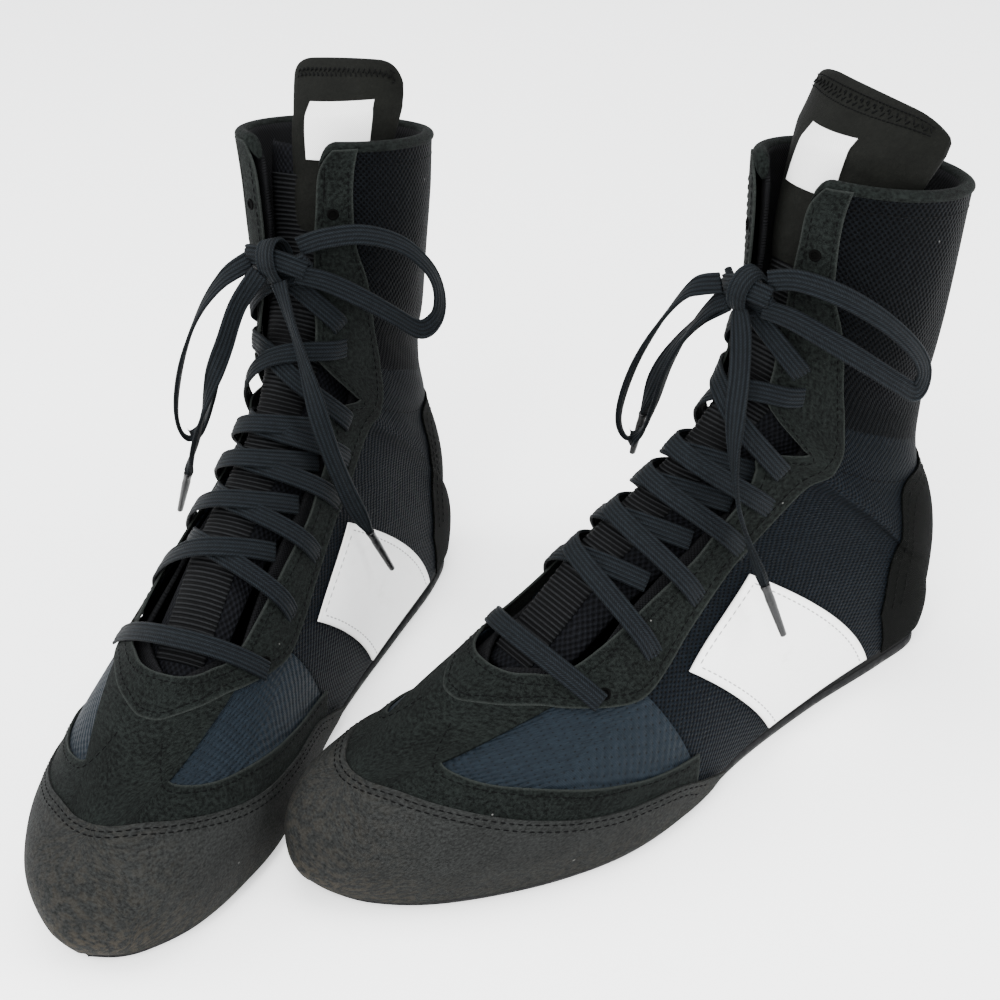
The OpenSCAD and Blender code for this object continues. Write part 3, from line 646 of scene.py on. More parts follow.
def ruled(low, high, cells, steps=10):
    """Stations and shares of a grid ruled between two lines of as many points."""
    low, high = smooth_line(low, steps), smooth_line(high, steps)
    share = np.linspace(0, 1, cells + 1)[None, :, None]
    grid = low[:, None] + (high - low)[:, None] * share
    return grid[..., 0], grid[..., 1]


def both_sides(line):
    """An outer side's line with its mirror image on the inner side."""
    return [(u, -v) for u, v in reversed(line)] + list(line)


for boot in boots:
    bm = bmesh.new()
    u = np.linspace(1.3, collar_line, 150)[:, None]
    front = np.interp(u, [1.3, 6.2, 6.9, 13, 16.5, 17.5, 18], [0.0, 0.0, 0.33, 0.31, 0.11, 0.11, 0.15])
    v = front + (1 - front) * np.linspace(0, 1, 60)[None, :]
    lay_sides(bm, boot, np.broadcast_to(u, v.shape), v, lining_height, floor_at=9.5)
    face_out(bm, boot, 16.0, 0.6)
    lining = stiffen(new_piece(f"{boot}_lining", bm, lining_knit), lining_thickness, 0)
    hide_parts(f"{boot}_foot_lining", f"{boot}_shaft_lining")
    bend_at_ankle(lining)

    low = ((12, 1), (11.6, 1), (11, 0.99), (10.4, 0.99), (9.8, 0.99))
    high = ((13.5, 1), (13.4, 0.88), (13.2, 0.78), (12.2, 0.66), (10.2, 0.78))
    bm = bmesh.new()
    lay_sides(bm, boot, *ruled(low, high, 16), -2.4)
    face_out(bm, boot, 12.5, 0.85)
    stiffener = stiffen(new_piece(f"{boot}_heel_stiffener", bm, stiffener_plastic), 0.8)
    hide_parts(f"{boot}_heel_counter")
    bend_at_ankle(stiffener)

# --- Collar binding ---
# A soft padded roll of suede-like fabric, folded over the mesh and the lining and stitched
# through, that ends in a rounded corner at each side of the tongue.
roll_radius = 2.6
roll_middle = -1.6
roll_end = 0.105
corner_drop, corner_width = 0.32, 0.06

suede, tree, shader, uv = new_material(
    "suede", roughness=0.9, specular_ior_level=0.04, sheen_weight=0.006)
nap = use(tree, fibres, Vector=uv, Size=0.0016)
patches = use(tree, fibres, Vector=uv, Size=0.025)
rim = node(tree, "Attribute", attribute_name="rim").outputs["Fac"]
worn = fade(tree, rim, 0.0013, 0.0)
shade = plus(tree, times(tree, nap["Shade"], 0.75), times(tree, patches["Shade"], 0.25))
napped = between(tree, fade(tree, shade, 0.35, 0.66), (0.0008, 0.0010, 0.0009, 1),
                 (0.0072, 0.0092, 0.0083, 1))
edged = between(tree, times(tree, worn, nap["Height"]), napped, (0.021, 0.024, 0.022, 1))
specks = use(tree, lint, Vector=uv, Spacing=0.005, Share=0.06)["Specks"]
paint(tree, shader, specks, edged, (0.09, 0.09, 0.085, 1))
tree.links.new(fade(tree, nap["Shade"], 0.2, 0.8, 0.95, 0.78), shader["Roughness"])
bump(tree, shader, plus(tree, nap["Shade"], nap["Height"]), 0.00035)

for boot in boots:
    turn = np.linspace(0, 2 * math.pi, 25)
    v = np.concatenate([np.linspace(roll_end, 1, 80), -np.linspace(1, roll_end, 80)[1:]])
    u = collar_line - corner_drop * np.clip(1 - (np.abs(v) - roll_end) / corner_width, 0, 1) ** 2
    out = normal_at(upper, u, v)
    up = unit(upper(u + 0.02, v) - upper(u - 0.02, v))
    out[79], up[79] = unit(out[78] + out[80]), unit(up[78] + up[80])
    swell = np.interp(np.abs(v), [roll_end, 0.112, 0.125, 1], [0.35, 0.8, 1, 1])[:, None, None]
    spine = skin(u, v, roll_middle)
    points = spine[:, None] + swell * (
        out[:, None] * (roll_radius * 1.08 * np.cos(turn))[None, :, None]
        + up[:, None] * (roll_radius * 0.85 * np.sin(turn))[None, :, None])
    bm = bmesh.new()
    cloth_grid(bm, stand(boot, points), rim=np.ones(points.shape[:2]))
    close_lace(bm)
    binding = new_piece(f"{boot}_collar_roll", bm, suede)
    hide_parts(f"{boot}_collar_binding")
    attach(binding, f"{boot}_shaft")

# --- Vamp overlay ---
# Synthetic suede that frames the forefoot mesh behind the toe wrap and is stitched on.
overlay_thickness = 0.85
overlay_height = 0.9


def suede_panel(name, boot, low, high, cells, height=overlay_height, thickness=overlay_thickness,
                material=suede, out=(8.0, 0.45), sides=False):
    """A panel ruled between two lines: one piece over the ridge, or two sides joined at the back."""
    bm = bmesh.new()
    u, v = ruled(low, high, cells)
    if sides:
        lay_sides(bm, boot, u, v, height)
    else:
        cloth_grid(bm, stand(boot, skin(u, v, height)))
    bmesh.ops.remove_doubles(bm, verts=bm.verts, dist=weld)
    face_out(bm, boot, *out)
    return stiffen(new_piece(name, bm, material), thickness)


vamp_low = ((3.7, 0.01), (3.7, 0.03), (3.71, 0.05), (3.73, 0.07), (3.75, 0.09), (3.8, 0.12),
            (3.88, 0.15), (3.97, 0.2), (4.12, 0.33), (4.4, 0.47), (4.8, 0.62), (5.3, 0.75),
            (5.85, 0.83), (6.4, 0.87), (7.1, 0.95))
vamp_high = ((5.8, 0.01), (5.82, 0.06), (5.95, 0.13), (6.12, 0.21), (6.4, 0.335), (5.95, 0.262),
             (5.5, 0.185), (5.12, 0.166), (4.9, 0.22), (5.0, 0.36), (5.3, 0.49), (5.85, 0.65),
             (6.4, 0.745), (6.8, 0.79), (7.3, 0.83))
for boot in boots:
    vamp = suede_panel(f"{boot}_vamp_suede", boot, both_sides(vamp_low), both_sides(vamp_high), 26,
                       out=(4.9, 0.0))
    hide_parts(f"{boot}_vamp_overlay")
    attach(vamp, f"{boot}_foot")

# --- Eyestays ---
# One piece of the same suede runs from a rounded lobe over the toes, up both sides of the
# throat and past a V-shaped notch at the ankle to the collar. It carries the eyelets.
stay_height = 1.0
stay_outer = ((5.67, 0.02), (5.7, 0.06), (5.85, 0.14), (6.0, 0.21), (6.25, 0.30), (6.45, 0.38),
              (6.8, 0.48), (7.15, 0.535), (7.6, 0.53), (8.1, 0.50), (8.9, 0.45), (9.5, 0.43),
              (10.4, 0.405), (11.1, 0.39), (11.7, 0.38), (12.3, 0.39), (12.8, 0.39), (13.2, 0.385),
              (13.7, 0.375), (14.5, 0.36), (15.2, 0.34), (15.9, 0.29), (16.45, 0.235), (17.05, 0.215),
              (17.5, 0.215), (17.95, 0.23))
stay_inner = ((6.27, 0.02), (6.28, 0.06), (6.32, 0.11), (6.38, 0.15), (6.5, 0.20), (6.62, 0.25),
              (6.85, 0.29), (7.2, 0.315), (7.6, 0.335), (8.1, 0.345), (8.8, 0.345), (9.4, 0.325),
              (10.2, 0.30), (10.8, 0.265), (11.35, 0.235), (12.25, 0.31), (12.4, 0.295), (12.75, 0.20),
              (13.15, 0.145), (14.2, 0.125), (14.9, 0.11), (15.6, 0.10), (16.3, 0.093), (16.9, 0.095),
              (17.5, 0.105), (17.92, 0.15))
for boot in boots:
    stay = suede_panel(f"{boot}_eyestay", boot, both_sides(stay_outer), both_sides(stay_inner), 20,
                       height=stay_height)
    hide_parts(f"{boot}_eyestays_lower", f"{boot}_eyestays_upper")
    bend_at_ankle(stay)

# --- Toe wrap ---
# A rubberised wrap, matt charcoal and scuffed at the tip, that is pulled up from under the
# sole, cemented to it and double-stitched along its top edge.
wrap_height = 1.6
wrap_thickness = 1.1
wrap_low = ((0.12, 0.5), (0.25, 1), (0.6, 1), (1.2, 1), (2, 1), (3, 1), (4, 1), (5, 1), (5.8, 1),
            (6.4, 1), (6.9, 1), (7.35, 1))
wrap_high = ((3.9, 0.0), (3.95, 0.09), (4.15, 0.22), (4.32, 0.35), (4.62, 0.5), (5.0, 0.63),
             (5.5, 0.74), (6.05, 0.81), (6.45, 0.84), (6.9, 0.875), (7.3, 0.94), (7.6, 0.985))
toe_tip = (291, -10, 18)
scuff_reach, scuff_low, scuff_fade = 0.055, 0.006, 0.016

wrap_rubber, tree, shader, uv = new_material("wrap_rubber", roughness=0.85, specular_ior_level=0.05)
grit = use(tree, fibres, Vector=uv, Size=0.0011)
clouds = use(tree, fibres, Vector=uv, Size=0.012)
scuffed = node(tree, "Attribute", attribute_name="scuff").outputs["Fac"]
mottled = plus(tree, times(tree, grit["Shade"], 0.9), times(tree, clouds["Shade"], 0.25))
rough = fade(tree, mottled, 0.36, 0.80)
specks = use(tree, lint, Vector=uv, Spacing=0.006, Share=0.08)["Specks"]
base = between(tree, rough, (0.0040, 0.0042, 0.0040, 1), (0.0165, 0.0175, 0.0168, 1))
rubbed = times(tree, scuffed, fade(tree, clouds["Height"], 0.42, 0.62))
worn_base = between(tree, rubbed, base, (0.034, 0.028, 0.020, 1))
paint(tree, shader, specks, worn_base, (0.09, 0.09, 0.085, 1))
tree.links.new(fade(tree, grit["Shade"], 0.2, 0.8, 0.9, 0.7), shader["Roughness"])
bump(tree, shader, plus(tree, grit["Shade"], times(tree, grit["Height"], 0.6)), 0.00018)

for boot in boots:
    wrap = suede_panel(f"{boot}_wrap", boot, both_sides(wrap_low), both_sides(wrap_high), 44,
                       height=wrap_height, thickness=wrap_thickness, material=wrap_rubber,
                       out=(3.0, 0.5))
    tip = Vector(stand(boot, toe_tip))
    scuff = wrap.data.attributes.new("scuff", "FLOAT", "POINT")
    for vert in wrap.data.vertices:
        near = max(0.0, 1 - (vert.co - tip).length / scuff_reach)
        low = max(0.0, 1 - max(0.0, vert.co.z - scuff_low) / scuff_fade)
        scuff.data[vert.index].value = 0.75 * near * (0.35 + 0.65 * low) + 0.15 * low
    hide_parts(f"{boot}_toe_wrap")
    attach(wrap, f"{boot}_foot")

# --- Heel overlay ---
# A darker overlay with fine moulded ribs cups the heel and is stitched to the mesh.
heel_height = 0.8
heel_thickness = 0.7
heel_low = ((12, 1), (11.8, 1), (11.4, 1), (11, 1), (10.6, 1), (10.2, 1), (9.95, 1))
heel_high = ((14.95, 1), (14.7, 0.9), (14.4, 0.78), (13.5, 0.62), (12.3, 0.62), (10.7, 0.72),
             (10.0, 0.87))

ribbed_suede, tree, shader, uv = new_material("ribbed_suede", roughness=0.9, specular_ior_level=0.03)
ribs = use(tree, pierced, Vector=uv, Pitch=0.0021, Stretch=0.55, Hole=0.4)
nap = use(tree, fibres, Vector=uv, Size=0.003)
# Painted shade: the colour darkens in the grooves between the moulded ribs.
paint(tree, shader, times(tree, ribs["Height"], nap["Shade"]), (0.0002, 0.0003, 0.0002, 1),
      (0.0056, 0.0062, 0.0056, 1))
bump(tree, shader, plus(tree, ribs["Height"], times(tree, nap["Height"], 0.3)), 0.0005)

for boot in boots:
    heel = suede_panel(f"{boot}_heel_cup", boot, heel_low, heel_high, 30,
                       height=heel_height, thickness=heel_thickness, material=ribbed_suede,
                       out=(12.5, 0.85), sides=True)
    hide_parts(f"{boot}_heel_overlay")
    bend_at_ankle(heel)

# --- Side bands ---
# A wide band of white coated synthetic on each side, lasted under at the sole and
# stitched all round with grey thread.
band_half, band_height = 0.68, 0.9

white_synthetic, tree, shader, uv = new_material("white_synthetic", roughness=0.42, coat_weight=0.08)
pores = use(tree, fibres, Vector=uv, Size=0.0009)
soil = use(tree, fibres, Vector=uv, Size=0.018)
rim = node(tree, "Attribute", attribute_name="rim").outputs["Fac"]
dull = maths(tree, "MAXIMUM", fade(tree, rim, 0.0022, 0.0, 0.0, 0.7),
             fade(tree, soil["Shade"], 0.55, 0.8, 0.0, 0.5))
paint(tree, shader, dull, (0.88, 0.88, 0.87, 1), (0.66, 0.65, 0.62, 1))
tree.links.new(fade(tree, soil["Height"], 0.3, 0.7, 0.36, 0.55), shader["Roughness"])
bump(tree, shader, plus(tree, times(tree, pores["Shade"], 0.25), soil["Shade"]), 0.0005)


def band_at(i, j):
    """Stations and shares over a band: i from its front edge, -1, to its rear, 1; j upwards."""
    top = np.stack([8.42 + band_half * i, 0.545 - 0.05 * i], -1)
    bottom = np.stack([9.02 + band_half * i, 0.985 + 0 * i], -1)
    spot = bottom + (top - bottom) * np.expand_dims(j, -1)
    return spot[..., 0], spot[..., 1]


for boot in boots:
    for side, which in ((1, "outer"), (-1, "inner")):
        i, j = np.meshgrid(np.linspace(-1, 1, 46), np.linspace(0, 1, 64), indexing="ij")
        u, v = band_at(i, j)
        bm = bmesh.new()
        cloth_grid(bm, stand(boot, skin(u, side * v, band_height)))
        face_out(bm, boot, 8.8, side * 0.75)
        band = stiffen(new_piece(f"{boot}_side_band_{which}", bm, white_synthetic), band_height)
        if which == "outer":
            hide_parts(f"{boot}_side_bands")
        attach(band, f"{boot}_foot")

# --- Stitching ---
# Bonded polyester lockstitch, about 3 mm to a stitch: black round the overlays and grey along
# the bands. Each seam runs a little inside the edge that it holds down.
stitch_length = 2.5
stitch_gap = 0.75
stitch_radius = 0.33
band_seam_height = 1.8
overlay_top = overlay_height + overlay_thickness
seams_dark = (
    # the toe wrap's edge
    (wrap_height + wrap_thickness, ((3.78, 0), (3.83, 0.09), (4.03, 0.22), (4.2, 0.35), (4.5, 0.5),
        (4.88, 0.63), (5.38, 0.74), (5.93, 0.815), (6.38, 0.85), (6.9, 0.89), (7.25, 0.95))),
    # a second row beside it
    (wrap_height + wrap_thickness, ((3.66, 0), (3.71, 0.09), (3.9, 0.22), (4.07, 0.35), (4.37, 0.51),
        (4.74, 0.645), (5.27, 0.76), (5.85, 0.835), (6.34, 0.87), (6.86, 0.91), (7.1, 0.955))),
    # the vamp overlay
    (overlay_top, ((5.42, 0.1), (5.02, 0.15), (4.76, 0.22), (4.88, 0.37), (5.2, 0.51), (5.78, 0.68),
        (6.38, 0.765), (6.8, 0.81), (7.15, 0.84))),
    # the eyestays' outer edge
    (overlay_top + 0.1, ((5.77, 0.0), (5.8, 0.06), (5.95, 0.13), (6.1, 0.2), (6.35, 0.28),
        (6.58, 0.37), (6.9, 0.455), (7.2, 0.51), (7.6, 0.505), (8.1, 0.475), (8.9, 0.425),
        (9.5, 0.405), (10.4, 0.38), (11.1, 0.365), (11.7, 0.355), (12.3, 0.365), (12.8, 0.367),
        (13.7, 0.352), (14.5, 0.336), (15.2, 0.316), (15.9, 0.268), (16.45, 0.216), (17.05, 0.198),
        (17.6, 0.198))),
    # the eyestays' inner edge
    (overlay_top + 0.1, ((6.18, 0.0), (6.2, 0.09), (6.28, 0.17), (6.45, 0.25), (6.7, 0.325),
        (7.2, 0.355), (7.7, 0.375), (8.4, 0.385), (9.2, 0.36), (10.0, 0.335), (10.7, 0.3),
        (11.2, 0.27), (11.7, 0.295), (12.25, 0.335), (12.6, 0.28), (12.95, 0.2), (13.4, 0.165),
        (14.4, 0.15), (15.4, 0.13), (16.4, 0.115), (17.6, 0.125))),
    # the heel overlay
    (1.5, ((14.75, 0.97), (14.5, 0.89), (14.2, 0.79), (13.4, 0.645), (12.3, 0.642), (10.8, 0.74),
        (10.2, 0.87))),
    # a second row beside it
    (1.5, ((14.62, 0.97), (14.38, 0.9), (14.08, 0.81), (13.35, 0.675), (12.35, 0.668), (10.95, 0.76),
        (10.35, 0.88))),
    # from the eyestay back over the ankle
    (0.4, ((12.55, 0.41), (13.0, 0.5), (13.6, 0.62), (14.3, 0.78), (15.0, 0.9), (15.25, 0.975))),
    # under the collar
    (0.4, ((17.62, 0.12), (17.64, 0.3), (17.68, 0.6), (17.7, 0.8), (17.7, 0.975))),
    # down the back seam
    (0.35, ((15.1, 0.965), (15.8, 0.968), (16.6, 0.97), (17.5, 0.972))),
)


def fibrous(name, size, relief, dark, light, **settings):
    """A plain material with fibres of one size, in metres, raised by up to relief."""
    made, tree, shader, uv = new_material(name, **settings)
    strand = use(tree, fibres, Vector=solid(tree), Size=size)
    paint(tree, shader, strand["Shade"], dark, light)
    bump(tree, shader, strand["Height"], relief)
    return made


dark_thread = fibrous("dark_thread", 0.0012, 0.0001, (0.0002, 0.0002, 0.0002, 1),
                      (0.0022, 0.0024, 0.0025, 1), roughness=0.7, specular_ior_level=0.04)
grey_thread = fibrous("grey_thread", 0.0012, 0.0001, (0.16, 0.16, 0.16, 1), (0.42, 0.42, 0.41, 1),
                      roughness=0.6)


def sew(bm, boot, u, v, height, form=skin):
    """Lays stitches over the upper along a line of stations and shares."""
    track = form(u, v, height)
    reach = np.concatenate([[0], np.cumsum(np.linalg.norm(np.diff(track, axis=0), axis=1))])
    half = stitch_length / 2
    for middle in np.arange(half, reach[-1], stitch_length + stitch_gap):
        ends = [[np.interp(middle + d, reach, axis) for axis in track.T] for d in (-half, half)]
        a, b = (Vector(p) for p in stand(boot, ends))
        size = Matrix.Diagonal((stitch_radius / 1000, stitch_radius / 1000, (b - a).length / 2, 1))
        turn = (b - a).to_track_quat("Z", "Y").to_matrix().to_4x4()
        place = Matrix.Translation((a + b) / 2) @ turn @ size
        bmesh.ops.create_icosphere(bm, subdivisions=1, radius=1, matrix=place)


for boot in boots:
    bm = bmesh.new()
    for height, line in seams_dark:
        u, v = smooth_line(line, 16).T
        for side in (1, -1):
            sew(bm, boot, u, side * v, height)
    seams = new_piece(f"{boot}_seams", bm, dark_thread)
    bend_at_ankle(seams)

    bm = bmesh.new()
    up, over = np.linspace(0.02, 0.96, 60), np.linspace(-0.82, 0.82, 40)
    for side in (1, -1):
        for i, j in ((np.full(60, -0.86), up), (np.full(60, 0.86), up), (over, np.full(40, 0.955))):
            u, v = band_at(i, j)
            sew(bm, boot, u, side * v, band_seam_height)
    band_seams = new_piece(f"{boot}_band_seams", bm, grey_thread)
    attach(band_seams, f"{boot}_foot")

# --- Eyelets ---
# Holes punched through the stay, without metal: a rim of compressed suede round a dark
# disc, painted shade that stands for the hole. The top one on each side is not laced.
eyelets = ((6.85, 0.43), (7.6, 0.45), (8.45, 0.43), (9.35, 0.40), (10.2, 0.36), (11.15, 0.31),
           (13.55, 0.215), (14.5, 0.20), (16.9, 0.15))
eyelet_radius = 1.8
eyelet_rim = 0.55

punched = fibrous("punched_edge_and_hole_shade", 0.002, 0.0001, (0.0001, 0.0001, 0.0001, 1),
                  (0.0020, 0.0020, 0.0019, 1), roughness=0.85, specular_ior_level=0.02)

for boot in boots:
    bm = bmesh.new()
    for u, v in eyelets:
        for side in (1, -1):
            spot, above = skin(u, side * v, 1.8), skin(u, side * v, 3.8)
            a, b = (Vector(p) for p in stand(boot, [spot, above]))
            place = Matrix.Translation(a) @ (b - a).to_track_quat("Z", "Y").to_matrix().to_4x4()
            upright = Matrix.Rotation(math.pi / 2, 4, "X")
            start = Matrix.Translation((eyelet_radius / 1000, 0, 0)) @ upright
            ring = bmesh.ops.create_circle(
                bm, segments=10, radius=eyelet_rim / 1000, matrix=start)["verts"]
            edges = list({e for vert in ring for e in vert.link_edges})
            bmesh.ops.spin(bm, geom=ring + edges, cent=(0, 0, 0), axis=(0, 0, 1),
                           angle=2 * math.pi, steps=24, use_merge=True)
            fresh = {vert for face in bm.faces for vert in face.verts if not vert.tag}
            bmesh.ops.transform(bm, matrix=place, verts=list(fresh))
            # Painted shade: a dark disc is laid over the hole in place of the shade inside it.
            bmesh.ops.create_circle(bm, cap_ends=True, segments=20, radius=eyelet_radius / 1000,
                                    matrix=place @ Matrix.Translation((0, 0, 0.0001)))
            for vert in bm.verts:
                vert.tag = True
    bmesh.ops.recalc_face_normals(bm, faces=bm.faces)
    rims = new_piece(f"{boot}_eyelets", bm, punched)
    bend_at_ankle(rims)

# --- Tongue ---
# A foam-padded knitted tongue behind the laces, with a strip of finely ribbed webbing sewn
# down its middle. It is sewn in at the toe end only.
tongue_thickness = 3.4
tongue_depth = 7.4
webbing_pitch = 1.9
rim_weld = 1e-5
tongue_swell_at, tongue_swell = (6.6, 8, 12.4, 13.2, 14.6, 15.6), (0, 2.8, 2.8, 4.2, 4.2, 0)


def tongue(u, v):
    """The tongue's middle face lies inside the lining, swells between the stays and leans
    back near the collar."""
    u = np.asarray(u, float)
    opening = np.interp(u, (13, 16.5), (0.31, 0.11))
    swell = np.interp(u, tongue_swell_at, tongue_swell) * np.clip(1 - (v / opening) ** 2, 0, 1)
    depth = tongue_depth + 2.3 * np.maximum(0, u - 15) - swell
    return upper(u, v) - normal_at(upper, u, v) * np.expand_dims(depth, -1)


def tongue_skin(u, v, height):
    u, v = np.broadcast_arrays(np.asarray(u, float), np.asarray(v, float))
    return tongue(u, v) + normal_at(tongue, u, v) * np.expand_dims(height + 0 * u, -1)


tongue_knit, tree, shader, uv = new_material("tongue_knit", roughness=0.85, specular_ior_level=0.05)
cells = use(tree, pierced, Vector=uv, Pitch=0.0034, Stretch=0.8, Hole=0.3)
yarns = use(tree, fibres, Vector=uv, Size=0.002)
# Painted shade: the knit's colour darkens in the holes between its cells.
paint(tree, shader, times(tree, cells["Height"], yarns["Shade"]), (0.0004, 0.0004, 0.0006, 1),
      (0.0075, 0.0082, 0.0105, 1))
bump(tree, shader, cells["Height"], 0.0006)

webbing, tree, shader, uv = new_material("webbing", roughness=0.75, specular_ior_level=0.05)
rib_wave = fade(tree, wave_across(tree, uv, webbing_pitch / 1000), -0.8, 0.9)
yarns = use(tree, fibres, Vector=uv, Size=0.0012)
# Painted shade: the colour darkens in the troughs between the webbing's ribs.
paint(tree, shader, times(tree, rib_wave, yarns["Shade"]), (0.0004, 0.0004, 0.0005, 1),
      (0.013, 0.0138, 0.0148, 1))
bump(tree, shader, rib_wave, 0.0007)


def pillow(bm, boot, form, u, v, thickness, bluntness=0.32):
    """A closed padded form: two grids that meet along a blunt rim, both sides of a surface."""
    s = np.linspace(-1, 1, u.shape[0])[:, None]
    t = np.linspace(-1, 1, u.shape[1])[None, :]
    swell = ((1 - s ** 4) * (1 - t ** 4)) ** bluntness * thickness / 2
    for face in (1, -1):
        fresh = cloth_grid(bm, stand(boot, form(u, v, face * swell)), rim=np.ones(u.shape))
        if face < 0:
            bmesh.ops.reverse_faces(bm, faces=list({f for vert in fresh for f in vert.link_faces}))
    bmesh.ops.remove_doubles(bm, verts=bm.verts, dist=rim_weld)
    bmesh.ops.recalc_face_normals(bm, faces=bm.faces)


for boot in boots:
    bm = bmesh.new()
    u = np.linspace(6.3, 17.75, 180)[:, None]
    half = np.interp(u, [6.3, 7.0, 9.0, 18], [0.24, 0.28, 0.36, 0.36])
    v = half * np.linspace(-1, 1, 50)[None, :]
    u = np.broadcast_to(u, v.shape)
    pillow(bm, boot, tongue_skin, u, v, tongue_thickness)
    pad = new_piece(f"{boot}_tongue", bm, tongue_knit)
    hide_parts(f"{boot}_tongue_body")
    bend_at_ankle(pad)

    bm = bmesh.new()
    u = np.linspace(6.5, 17.3, 260)[:, None]
    v = np.interp(u, [6.5, 9, 18], [0.15, 0.17, 0.19]) * np.linspace(-1, 1, 24)[None, :]
    points = tongue_skin(np.broadcast_to(u, v.shape), v, tongue_thickness / 2 - 0.1)
    ribbed = 0.18 * np.sin(spread(points)[..., 0] * 2 * math.pi / webbing_pitch)
    outward = normal_at(tongue, np.broadcast_to(u, v.shape), v)
    cloth_grid(bm, stand(boot, points + outward * ribbed[..., None]))
    face_out(bm, boot, 10, 0)
    strip = stiffen(new_piece(f"{boot}_tongue_webbing", bm, webbing), 0.7, 0)
    bend_at_ankle(strip)

# --- Tongue head ---
# The tongue's padded top: a smooth matt panel that curves round the leg and leans back
# over the mouth, with an overlocked seam under its rolled edge and a plain woven label.
head_thickness = 6.6
label_s, label_half = (-0.3, 0.2), 0.30
label_middle = {"left": 0.02, "right": -0.4}
head_low = {"left": (-1, 1), "right": (-0.95, 0.08)}
head_high = {"left": (-1, 1), "right": (-0.95, 0.42)}
corner_from = 0.55
head_corner = {"left": (0.35, 0.55), "right": (0.75, 0.35)}

head_fabric, tree, shader, uv = new_material("head_fabric", roughness=0.75, specular_ior_level=0.05)
nap = use(tree, fibres, Vector=uv, Size=0.0014)
folds_seen = use(tree, fibres, Vector=uv, Size=0.02)
paint(tree, shader, times(tree, nap["Shade"], folds_seen["Shade"]), (0.0008, 0.0009, 0.0007, 1),
      (0.0105, 0.0110, 0.0092, 1))
bump(tree, shader, plus(tree, nap["Height"], times(tree, folds_seen["Height"], 2.0)), 0.0003)

label_weave, tree, shader, uv = new_material("label_weave", roughness=0.6)
twill = use(tree, pierced, Vector=uv, Pitch=0.0008, Stretch=1.0, Hole=0.3)
# Painted shade: the weave's colour darkens in its holes, where the threads sink.
paint(tree, shader, twill["Height"], (0.55, 0.55, 0.54, 1), (0.78, 0.78, 0.77, 1))
bump(tree, shader, twill["Height"], 0.0001)


def head(s, t):
    """The head's middle face: s runs up from the tongue, 0, to the top edge, 1."""
    s, t = np.broadcast_arrays(np.asarray(s, float), np.asarray(t, float))
    x = (52 - 26 * t * t) + (-24 + 19 * t * t) * s
    z = 229 + 16 * s - (4 * t * t + 3 * t) * s
    top = np.stack([x, 2 + 35 * t, z], -1)
    low = tongue(16.3 + 0 * s, 0.355 * t)
    mid = tongue(17.15 + 0 * s, 0.42 * t)
    rows = np.stack([low, mid, np.stack([52 - 26 * t * t, 2 + 35 * t, 229 + 0 * t], -1),
                     np.stack([40 - 16.5 * t * t, 2 + 35 * t, 237 - 2 * t * t - 1.5 * t], -1)])
    way = np.clip((s + 1.0) * 2, 0, 2)
    step = np.clip(way.astype(int), 0, 1)[..., None]
    f = way[..., None] - step
    a, b = np.where(step == 0, rows[0], rows[1]), np.where(step == 0, rows[1], rows[2])
    before, after = rows[0], np.where(step == 0, rows[2], rows[3])
    curve = 0.5 * (2 * a + (b - before) * f + (2 * before - 5 * a + 4 * b - after) * f ** 2
                   + (3 * a - before - 3 * b + after) * f ** 3)
    return np.where((s < 0)[..., None], curve, top)


def head_skin(s, t, height):
    s, t = np.broadcast_arrays(np.asarray(s, float), np.asarray(t, float))
    inside = np.clip(t, -0.98, 0.98)
    up = head(s + 0.03, inside) - head(s - 0.03, inside)
    over = head(s, inside + 0.02) - head(s, inside - 0.02)
    return head(s, t) + unit(np.cross(over, up)) * np.expand_dims(height + 0 * s, -1)


def across_head(boot, s, t):
    """The head's own share across, from its inner side's edge, -1, to its outer side's, 1."""
    rise = np.clip(s, 0, 1)
    edges = zip(head_low[boot], head_high[boot])
    inner_side, outer_side = (low + (high - low) * rise for low, high in edges)
    return inner_side + (outer_side - inner_side) * (t + 1) / 2


def top_edge(boot, t):
    """The share of the head's height that its top edge reaches: it drops in a round corner."""
    corner = np.clip((np.abs(t) - corner_from) / (1 - corner_from), 0, 1)
    drop = np.where(t < 0, *head_corner[boot])
    return 1 - drop * (1 - np.sqrt(1 - corner ** 2.5))


